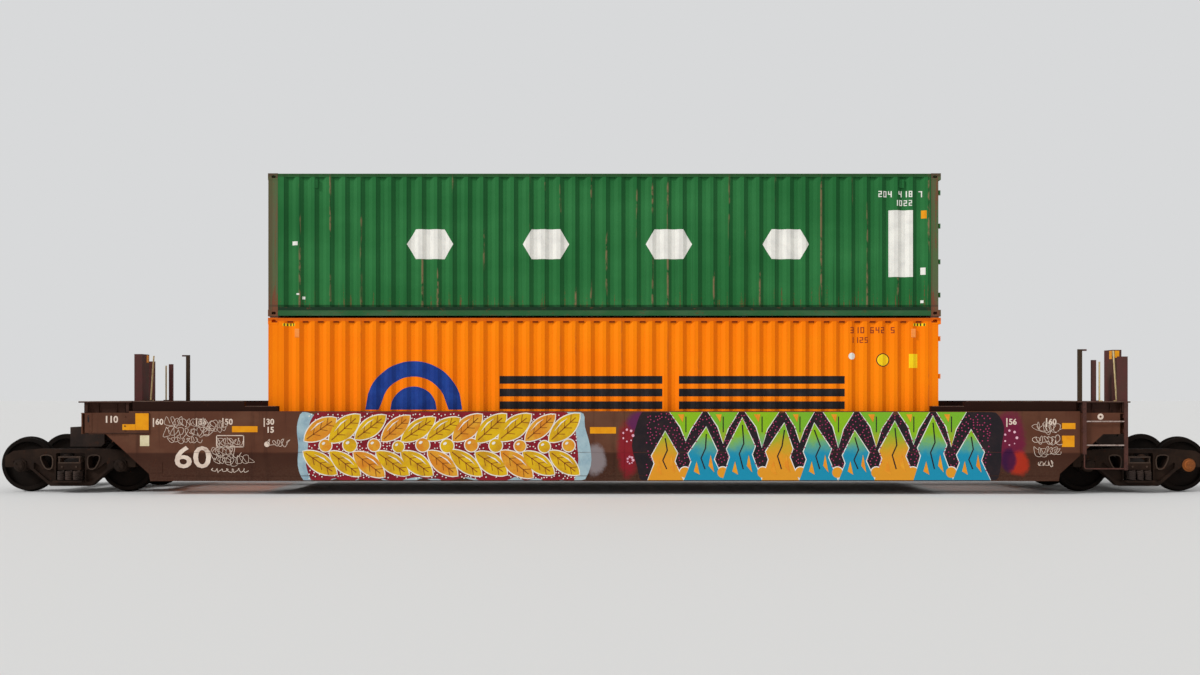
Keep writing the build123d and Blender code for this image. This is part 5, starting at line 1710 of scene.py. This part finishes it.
@dataclass
class CarBody:
    """The well: sills, ends, decks, ladders, posts, connectors and the marks on the sides."""

    face: float = -1.490
    arm_face: float = -1.508
    panel_face: float = -1.478
    sunk: float = 0.0008
    chord_face: float = 1.448
    deck_half: float = 1.45
    deck_start: float = 8.455
    deck_end: float = 9.42
    deck_top: float = 1.672
    deck_depth: float = 0.026
    deck_rim: float = 0.012
    leg_foot: float = 1.466
    leg_rows: Pair = (8.56, 9.30)
    leg_lines: tuple[float, ...] = (-1.39, -0.4633, 0.4633, 1.39)
    leg: float = 0.06
    skirt: float = 1.355
    leg_wall: float = 0.008
    bar_gap: float = 0.034
    rod_gap: float = 0.1

    def flat(self, solid: Solid, box: Box, face: float, thick: float = PLATE) -> None:
        """Add a thin plate on a face that looks to -Y.

        Args:
            solid: Where it goes.
            box: X and Z of its lower left and upper right corners.
            face: Y of the face that it lies on.
            thick: How far it stands out.
        """
        solid.box((box[0], face - thick, box[1]), (box[2], face + self.sunk, box[3]), thick * 0.3)

    def reflectors(self) -> None:
        """Yellow reflectors on the sides, the arms and the tops of the box posts."""
        near = Solid()
        for box, face in (
            ((-8.375, 1.159, -8.138, 1.458), self.arm_face),
            ((-8.607, 1.159, -8.378, 1.263), self.arm_face),
            ((-6.656, 1.120, -6.20, 1.228), self.face),
            ((-0.259, 1.096, 0.206, 1.212), self.face),
            ((8.176, 1.176, 8.417, 1.284), self.face),
            ((8.176, 0.856, 8.399, 1.058), self.face),
            ((9.262, 2.462, 9.345, 2.59), -1.18),
        ):
            self.flat(near, box, face)
        near.both()
        for hand in (-1, 1):
            x, y = hand * 9.225, hand * -1.10
            near.box((x, y - 0.05, 2.44), (x - hand * PLATE, y + 0.05, 2.59))
        near.piece("side_reflectors", Paint.REFLECTOR)

    def figures(self) -> None:
        """Plain load-length ticks and figures, and blank plates."""
        sheet, arm, panel = ((y - PLATE, y + self.sunk) for y in (self.face, self.arm_face, self.panel_face))
        white = Solid()
        ticks = ((-8.07, "60"), (-7.30, "56"), (-6.83, "50"), (-6.09, "30"), (7.18, "56"), (7.89, "60"))
        for x, figure in ticks:
            self.flat(white, (x, 1.215, x + 0.022, 1.372), self.face)
            white.text(figure, 0.10, (x + 0.045, 1.258), sheet, 0.004)
        white.text("15", 0.10, (-6.045, 1.115), sheet, 0.004)
        white.text("60", 0.378, (-7.70, 0.489), sheet, 0.008, 1.26)
        white.text("110", 0.115, (-8.93, 1.295), arm, 0.005)
        for strip in edge_strips((-6.94, 0.850, -6.44, 1.068), 0.016):
            self.flat(white, strip, self.face)
        white.prism(oval((-6.03, 0.905), 0.10, 0.10, 20), *sheet)
        disc, blank, patch = Solid(), Solid(), Solid()
        disc.band(oval((8.87, 1.398), 0.075, 0.075, 24), 0.034, *panel, True)
        self.flat(blank, (-8.30, 0.872, -8.135, 1.062), self.face, 0.003)
        self.flat(patch, (-8.12, 0.392, -7.90, 0.588), self.face, 0.006)
        white.both().piece("side_figures", Paint.CHALK)
        disc.both().piece("panel_discs", Paint.CHALK)
        blank.both().piece("blank_plates", Paint.CREAM)
        patch.both().piece("side_patches", Paint.BODY)

    def arms(self) -> None:
        """The side arms' laps on the sheets, the ribs at their ends, black painted shade in the slots of the ribs and a
        painted shadow line under the arms.
        """
        face = self.arm_face
        laps, slot_shade = Solid(), Solid()
        laps.box((-8.502, face, 1.106), (-8.134, self.face + 0.002, 1.466), 0.002)
        laps.box((-9.275, face - 0.006, 1.112), (-9.15, face + 0.002, 1.460), 0.003)
        laps.box((-9.275, face - 0.002, 1.106), (-8.134, face + 0.001, 1.116), 0.0005)
        laps.both().piece("arm_laps", Paint.BODY)
        # painted shade: a black oval stands in for the dark slot in each rib, and a black strip for the shadow line
        # under the arm
        slot_shade.prism(oval((-9.2125, 1.36), 0.03, 0.13, 20, power=0.5), face - 0.0072, face - 0.004)
        slot_shade.box((-9.275, face - 0.0015, 1.100), (-8.134, face + 0.0005, 1.1058))
        slot_shade.both().piece("arm_slots", Paint.BLACK_MARK)

    def worn_edges(self) -> None:
        """Pale strips along the top edges of the decks and the raised chords: painted highlight."""
        solid = Solid()
        edges = (
            (self.deck_half - 0.01, self.deck_half + 0.0012, 8.46, 9.418, self.deck_top, 0.012, 0.001, 0.0004),
            (self.chord_face - 0.02, self.chord_face + 0.0012, 6.47, 8.45, 1.672, 0.007, 0.0008, 0.0003),
            (self.chord_face - 0.02, self.chord_face + 0.0012, 5.88, 6.44, 1.586, 0.007, 0.0008, 0.0003),
        )
        for hand in (-1, 1):
            for row in (-1, 1):
                for inner, outer, start, end, top, below, above, bevel in edges:
                    corner = (hand * start, row * inner, top - below)
                    solid.box(corner, (hand * end, row * outer, top + above), bevel)
        solid.piece("worn_edges", Paint.EDGE_WEAR)

    def seams(self) -> None:
        """Weld seams and the lower flange line of the side sheets."""
        solid = Solid()
        boxes = [(-7.95, 0.336, 7.95, 0.344), (-7.40, 0.758, 7.40, 0.763)]
        boxes += [(x, 0.25, x + 0.006, 1.488) for x in (-4.2, 0.35, 4.1)]
        for hand in (-1, 1):
            face = hand * abs(self.face)
            for x0, z0, x1, z1 in boxes:
                solid.box((x0, face + hand * 0.004, z0), (x1, face - hand * 0.001, z1), 0.001)
        solid.piece("side_seams", Paint.BODY)

    def scrawls(self) -> None:
        """Loose looping chalk strokes."""
        solid = Solid()
        for x, z, width, tall, turns, seed in (
            (-7.82, 1.30, 0.62, 0.22, 7, 3), (-7.86, 1.12, 0.86, 0.24, 8, 5), (-7.80, 0.98, 0.60, 0.16, 6, 6),
            (-7.22, 1.24, 0.44, 0.28, 6, 7), (-6.99, 0.78, 0.40, 0.34, 6, 8), (-6.98, 0.62, 0.66, 0.22, 7, 9),
            (-7.05, 0.44, 0.70, 0.10, 6, 10), (-6.92, 0.96, 0.44, 0.16, 6, 12), (-6.02, 0.93, 0.40, 0.16, 4, 15),
            (7.68, 1.20, 0.46, 0.26, 6, 21), (7.66, 0.98, 0.50, 0.20, 6, 23), (7.70, 0.78, 0.44, 0.22, 6, 24),
            (7.74, 0.56, 0.30, 0.14, 4, 26),
        ):
            dice = random.Random(seed)
            knots = []
            for step in range(turns * 6):
                share = step / (turns * 6)
                angle = math.tau * step / 5 + dice.uniform(-0.5, 0.5)
                swing = dice.uniform(0.35, 1.0) * tall / 2
                lean = math.cos(angle) * swing * 0.8 + dice.uniform(-0.02, 0.02)
                knots.append((x + share * width + lean, z + math.sin(angle) * swing))
            line = smooth(knots, False, 4)
            solid.band(line, dice.uniform(0.006, 0.009), self.face - PLATE, self.face + self.sunk)
        solid.piece("chalk_scrawls", Paint.CHALK)

    def fields(self) -> None:
        """The painted fields of the two sides, and the sprayed dots beside them."""
        for side, leaf_seed, peak_seed in ((Side.NEAR, 11, 27), (Side.FAR, 43, 59)):
            turned, mark = side is Side.FAR, side.name.lower()
            leaves = ("leaf_field_" + mark, -5.28, -0.50, Pattern.GARLAND, Coats.WARM, 11)
            peaks = ("peak_field_" + mark, 0.75, 6.90, Pattern.RANGE, Coats.COLD, 9)
            PaintedField(*leaves, leaf_seed).build(turned)
            PaintedField(*peaks, peak_seed).build(turned)
        dots = Solid()
        for x, z, reach in ((7.26, 1.02, 0.11), (0.42, 1.06, 0.09), (0.46, 0.62, 0.05)):
            for index in range(7):
                angle = math.tau * index / 7
                size = 0.05 - 0.004 * index
                spot = (x + reach * math.cos(angle), z + reach * math.sin(angle) * 1.2)
                dots.prism(oval(spot, size, size, 12), self.face - PLATE, self.face + 0.0006)
        dots.both().piece("sprayed_dots", Paint.PINK)

    def grating(self, name: str, hand: int) -> bpy.types.Object:
        """The bars and cross rods of a deck.

        Args:
            name: The deck's name.
            hand: The sign of its X.

        Returns:
            The piece.
        """
        rim, wide = self.deck_rim, self.deck_half
        middle = hand * (self.deck_start + self.deck_end) / 2
        span = self.deck_end - self.deck_start - 2 * rim
        count, rows = int(span / self.bar_gap), int(2 * wide / self.rod_gap)
        centre = self.deck_top - self.deck_depth + self.deck_depth / 2
        bars = [(middle + (i - count / 2) * self.bar_gap, 0.0, centre) for i in range(count + 1)]
        rods = [(middle, (i - rows / 2) * self.rod_gap, self.deck_top - 0.006) for i in range(1, rows)]
        built = bmesh.new()
        for kind, size, spots in (
            ("_bars", (0.005, 2 * (wide - rim) + 0.002, self.deck_depth - 0.002), bars),
            ("_cross_rods", (span + 0.002, 0.006, 0.008), rods),
        ):
            built.from_mesh(Repeat(name + kind, Form.BAR, size, spots).mesh(Paint.DECK_STEEL))
        grid = bpy.data.meshes.new(name + "_grating")
        built.to_mesh(grid)
        built.free()
        return finish_mesh(name + "_grating", grid, Paint.DECK_STEEL)

    def decks(self, end: End) -> None:
        """An open grating on angle legs with skirts, in place of the plain deck.

        Args:
            end: Which of the two.
        """
        name, hand = "deck_" + end.name.lower(), end.value
        bottom = self.deck_top - self.deck_depth
        grating = self.grating(name, hand)
        solid = Solid()
        x0, x1 = sorted((hand * self.deck_start, hand * self.deck_end))
        for a, b, c, d in edge_strips((x0, -self.deck_half, x1, self.deck_half), self.deck_rim):
            solid.box((a, b, bottom), (c, d, self.deck_top), 0.0015)
        half, wall, foot, top = self.leg / 2, self.leg_wall, self.leg_foot, bottom + 0.004
        for row in self.leg_rows:
            for y in self.leg_lines:
                low = (hand * row - half, y - half, foot)
                for size in ((wall, self.leg, top - foot), (self.leg, wall, top - foot), (self.leg, self.leg, wall)):
                    solid.box(low, tuple(map(sum, zip(low, size))))
        start, stop = sorted(hand * (row + half * sign) for row, sign in zip(self.leg_rows, (-1, 1)))
        for y in (-self.skirt, *self.leg_lines[1:3], self.skirt):
            solid.box((start, y - 0.003, foot), (stop, y + 0.003, top))
            for share in (0.3, 0.7):
                x = start + (stop - start) * share
                solid.box((x - 0.004, y, foot), (x + 0.004, y + math.copysign(0.03, y), top))
        frame_piece = solid.piece(name + "_frame", Paint.DARK_BODY)
        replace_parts(grating, name)
        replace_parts(frame_piece, name)

    def studs(self) -> None:
        """Bolt heads of the side arms and the platform ends."""
        spots, aims = [], []
        for hand in (-1, 1):
            arms = [(hand * x, hand * abs(self.arm_face), z) for x in (8.56, 9.20) for z in (1.15, 1.23, 1.40)]
            rows = (-1.30, -1.10, -0.90, -0.70, 0.70, 0.90, 1.10, 1.30)
            ends = [(hand * 9.36, y, z) for y in rows for z in (1.14, 1.40)]
            spots += arms + ends
            aims += [(0.0, float(hand), 0.0)] * len(arms) + [(float(hand), 0.0, 0.0)] * len(ends)
        Repeat("end_bolts", Form.BOLT, (0.014, 0.010), spots, aims).piece(Paint.BODY)

    def build(self) -> None:
        """Dress the nodes of the body and add its small forms."""
        dress(["side_sill_near", "side_sill_far", "end_frame_left", "end_frame_right"], Paint.BODY)
        dress(["well_floor", "deck_left", "deck_right", "air_reservoir"], Paint.DARK_BODY)
        dress(["end_posts_near", "end_posts_far"], Paint.POST)
        dress(["ladder_near", "ladder_far"], Paint.LADDER)
        joints = ("tongue", "left_socket", "right_socket", "pin")
        dress(["connector_" + joint for joint in joints], Paint.CONNECTOR)
        dress(["box_connectors"], Paint.LOCK)
        self.reflectors()
        self.figures()
        self.arms()
        self.worn_edges()
        self.seams()
        self.scrawls()
        self.fields()
        for end in End:
            self.decks(end)
        self.studs()


@dataclass
class Container:
    """One container: panels, frames, doors, marks and small fittings."""

    name: str
    panel: Paint
    frame_paint: Paint
    base_paint: Paint
    vent_paint: Paint
    slot: str
    vent_places: Pair
    vent_drop: float
    door_face: float = 6.051
    leaf_outer: float = 1.160
    leaf_inner: float = 0.004
    vent_half: Pair = (0.042, 0.08)
    slats: int = 5
    slat_half: float = 0.032
    slat: float = 0.012
    slat_pitch: float = 0.026
    strip: float = 0.022
    inset: float = 0.002
    bracket_rows: int = 5
    bracket_margin: float = 0.035
    bracket_half: Pair = (0.026, 0.016)
    cam_foot: float = 0.012
    cam_height: float = 0.04
    screw_grid: tuple[int, int] = (25, 12)

    def vents(self) -> None:
        """Small louvred vent covers high on both sides."""
        solid = Solid()
        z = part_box(self.name + "_front_end")[1].z - self.vent_drop
        y = -WAVE.outer
        wide, tall = self.vent_half
        for x in self.vent_places:
            solid.box((x - wide, y - 0.004, z - tall), (x + wide, y + 0.045, z + tall), 0.006)
            for step in range(self.slats):
                foot = z - 0.062 + step * self.slat_pitch
                solid.box((x - self.slat_half, y - 0.0055, foot), (x + self.slat_half, y, foot + self.slat), 0.002)
        solid.both().piece(self.name + "_vents", self.vent_paint, "car", self.slot)

    def door_gear(self, side: Side) -> None:
        """Gasket lips, rod bracket bolts, cams and a blank plate on one door leaf.

        Args:
            side: The leaf's side.
        """
        hand, face, inset = side.value, self.door_face, self.inset
        node = self.name + "_door_" + side.name.lower()
        low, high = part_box(node)
        bottom, top = low.z, high.z
        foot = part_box(self.name + "_front_end")[0].z
        rods = [hand * place for place in self.panel.value.rod_places]
        seal, cams, plate = Solid(), Solid(), Solid()
        y0, y1 = sorted((hand * (self.leaf_inner + inset), hand * (self.leaf_outer - 4 * inset)))
        for a, b, c, d in edge_strips((y0, bottom + inset, y1, top - inset), self.strip):
            seal.box((face - inset, a, b), (face + 2 * inset, c, d), 0.0015)
        seal.piece(node + "_gasket", Paint.RUBBER, node, self.slot)
        rows, start, span = self.bracket_rows, bottom + self.bracket_margin, top - bottom - 2 * self.bracket_margin
        levels = [start + row * span / (rows - 1) for row in range(rows)]
        wide, tall = self.bracket_half
        corners = [(dy, dz) for dy in (-wide, wide) for dz in (-tall, tall)]
        spots = [(face + 0.0299, y + dy, z + dz) for y in rods for z in levels for dy, dz in corners]
        bolts = Repeat(node + "_bracket_bolts", Form.BOLT, (0.006, 0.005), spots, [(1.0, 0.0, 0.0)] * len(spots))
        bolts.piece(Paint.LOCK, node, "lock_galvanised")
        for y in rods:
            for z in (bottom + self.cam_foot, top - self.cam_foot - self.cam_height):
                head = z + self.cam_height
                outline = [(y - 0.03, z), (y + 0.03, z), (y + 0.024, head), (y - 0.024, head)]
                cams.prism(outline, face + 2 * inset, face + 0.012, True)
            y, z = y - hand * 0.29, foot + self.panel.value.handle_level
            cams.box((face - inset, y - 0.02, z - 0.045), (face + 0.016, y + 0.02, z + 0.045), 0.003)
        cams.piece(node + "_cams", Paint.LOCK, node, "lock_galvanised")
        y = hand * 0.62
        plate.box((face - inset, y - 0.10, foot + 0.62), (face + 0.003, y + 0.10, foot + 0.86), 0.001)
        plate.piece(node + "_blank_plate", Paint.CREAM, node, self.slot)

    def floor_screws(self) -> None:
        """Screw heads along the floor planks."""
        low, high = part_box(self.name + "_floor")
        across, beside = self.screw_grid
        rows = [low.x + 0.2 + row * (high.x - low.x - 0.4) / (across - 1) for row in range(across)]
        lines = [low.y + 0.1 + line * (high.y - low.y - 0.2) / (beside - 1) for line in range(beside)]
        spots = [(x, y, high.z) for x in rows for y in lines]
        screws = Repeat(self.name + "_floor_screws", Form.BOLT, (0.007, 0.0015), spots)
        screws.piece(Paint.LOCK, "car", "container_floor")

    def build(self) -> None:
        """Dress the panels and frames and add the fittings."""
        for parts, paint in (
            (("_wall_near", "_wall_far", "_roof", "_door_near", "_door_far"), self.panel),
            (("_front_end", "_rear_frame"), self.frame_paint),
            (("_base_frame",), self.base_paint),
            (("_floor",), Paint.BOARDS),
        ):
            dress([self.name + part for part in parts], paint)
        self.vents()
        for side in Side:
            self.door_gear(side)
        self.floor_screws()


class UpperMarks:
    """Plain white shapes, a white board and a small yellow mark on the green container."""

    def build(self) -> None:
        """Lay the marks on both sides."""
        white, yellow = Solid(), Solid()
        for x in (-3.16, -1.06, 1.17, 3.29):
            low, high = (
                [(x - 0.42, 4.52), (x - 0.26, z), (x + 0.26, z), (x + 0.42, 4.52)] for z in (4.25, 4.79)
            )
            WAVE.mark(white, low, high)
        WAVE.plate(white, (5.155, 3.925, 5.59, 5.135))
        WAVE.figures(white, "204 418 7", 4.965, 5.372, 0.112)
        WAVE.figures(white, "1022", 5.26, 5.215, 0.104)
        for x, z, wide, tall in (
            (5.735, 3.965, 0.085, 0.13), (5.735, 3.452, 0.05, 0.05), (-5.66, 4.50, 0.10, 0.07),
            (-5.48, 3.52, 0.05, 0.05), (-5.58, 3.60, 0.05, 0.03),
        ):
            WAVE.plate(white, (x, z, x + wide, z + tall))
        WAVE.plate(yellow, (5.745, 4.985, 5.84, 5.13))
        white.both().piece("upper_white_marks", Paint.WHITE, "car", "container_green")
        yellow.both().piece("upper_yellow_marks", Paint.REFLECTOR, "car", "container_green")


class LowerMarks:
    """Plain blue and black shapes, blank plates and barred patches on the orange container."""

    def build(self) -> None:
        """Lay the marks on both sides."""
        blue, black, brown, rim, yellow, bars, white = (Solid() for _ in range(7))
        WAVE.dome(blue, -3.46, 1.52, 0.88, 0.60)
        WAVE.dome(blue, -3.46, 1.52, 0.42, 0.0)
        for foot in (1.53, 1.76, 1.99):
            for start, end in ((-1.90, 1.05), (1.35, 4.36)):
                WAVE.plate(black, (start, foot, end, foot + 0.14))
        WAVE.figures(brown, "310 642 5", 4.46, 2.905, 0.112)
        WAVE.figures(brown, "1125", 4.46, 2.73, 0.104)
        WAVE.spot(rim, 5.05, 2.42, 0.122)
        WAVE.spot(yellow, 5.05, 2.42, 0.106, PLATE)
        WAVE.plate(yellow, (5.518, 2.275, 5.68, 2.53))
        for start in (-5.83, 5.60):
            WAVE.plate(yellow, (start, 3.035, start + 0.22, 3.085))
            for step in range(4):
                x = start + 0.016 + step * 0.056
                WAVE.plate(bars, (x, 3.036, x + 0.022, 3.084), 0.0024)
        WAVE.spot(white, 4.485, 2.49, 0.062)
        for solid, name, paint in (
            (blue, "lower_blue_marks", Paint.BLUE),
            (black, "lower_black_marks", Paint.BLACK_MARK),
            (brown, "lower_brown_marks", Paint.BROWN_MARK),
            (rim, "lower_outlines", Paint.BLACK_MARK),
            (yellow, "lower_yellow_marks", Paint.SIGN_YELLOW),
            (bars, "lower_stripes", Paint.BLACK_MARK),
            (white, "lower_white_mark", Paint.WHITE),
        ):
            solid.both().piece(name, paint, "car", "container_orange")


@dataclass
class Studio:
    """Floor, backdrop, light and camera."""

    rail_height: float = 0.026
    camera_height: float = 1.74
    camera_x: float = -0.08
    camera_distance: float = 20.0
    container_face: float = 1.219
    focal_px: float = 1104.0
    image_width: float = 1200.0
    horizon_shift: float = 0.0488
    sensor: float = 36.0
    floor_reach: float = 400.0

    def floor(self) -> None:
        """A plain pale floor at the lowest point of the wheels."""
        reach = self.floor_reach
        mesh = bpy.data.meshes.new("floor")
        corners = [(-reach, -reach, 0), (reach, -reach, 0), (reach, reach, 0), (-reach, reach, 0)]
        mesh.from_pydata(corners, [], [(0, 1, 2, 3)])
        mesh.materials.append(Recipe("floor_grey").done((226, 226, 225), 0.9, gloss=0.1))
        stand("floor", mesh)

    def world(self) -> None:
        """Even pale light from all round, with a plain pale backdrop where the camera sees it."""
        world = bpy.data.worlds.new("studio")
        world.use_nodes = True
        tree = Tree(world.node_tree)
        sky = world.node_tree.nodes["Background"]
        tree.feed(sky.inputs["Color"], (255, 255, 255))
        tree.feed(sky.inputs["Strength"], 0.5)
        backdrop = tree.node("ShaderNodeBackground", {}, {"Color": (216, 217, 218)})
        seen = tree.node("ShaderNodeLightPath", {}, {}, "Is Camera Ray")
        switch = tree.node("ShaderNodeMixShader", {}, {"Fac": seen, 1: sky.outputs[0], 2: backdrop})
        tree.feed(world.node_tree.nodes["World Output"].inputs["Surface"], switch)
        bpy.context.scene.world = world

    def lamp(self, name: str, strength: float, turn: Triple, spread: float) -> None:
        """Add a broad distant lamp.

        Args:
            name: The lamp's name.
            strength: Its strength.
            turn: Its rotation in degrees.
            spread: Its angle in degrees.
        """
        light = bpy.data.lights.new(name, "SUN")
        light.energy = strength
        light.angle = math.radians(spread)
        stand(name, light).rotation_euler = [math.radians(angle) for angle in turn]

    def camera(self) -> None:
        """A level camera far to the side, with the view shifted up to take in the stack."""
        lens = bpy.data.cameras.new("camera")
        lens.sensor_width = self.sensor
        lens.lens = self.sensor * self.focal_px / self.image_width
        lens.shift_y = self.horizon_shift
        lens.clip_end = 2 * self.floor_reach
        holder = stand("camera", lens)
        away = -self.container_face - self.camera_distance
        holder.location = (self.camera_x, away, self.camera_height + self.rail_height)
        holder.rotation_euler = (math.radians(90), 0, 0)
        bpy.context.scene.camera = holder

    def build(self) -> None:
        """Set the stage."""
        self.floor()
        self.world()
        self.lamp("key", 2.0, (56, 0, -62), 12)
        self.lamp("fill", 0.4, (60, 0, 42), 60)
        self.camera()
        bpy.context.scene.view_settings.view_transform = "Standard"


def main() -> None:
    """Build every sub-assembly in order and note the sizes."""
    logging.basicConfig(level=logging.INFO, format="%(message)s")
    Studio().build()
    CarBody().build()
    for end in End:
        Truck("truck_" + end.name.lower()).build()
    for number in range(1, 5):
        Wheelset(number).build()
    orange = (Paint.ORANGE, Paint.ORANGE, Paint.ORANGE_BASE, Paint.PALE_ORANGE, "container_orange")
    green = (Paint.GREEN, Paint.GREEN_FRAME, Paint.GREEN_BASE, Paint.GREEN, "container_green")
    Container("lower", *orange, (-5.57, 5.60), 0.28).build()
    Container("upper", *green, (-5.23, 5.39), 0.19).build()
    UpperMarks().build()
    LowerMarks().build()


if __name__ == "__main__":
    main()
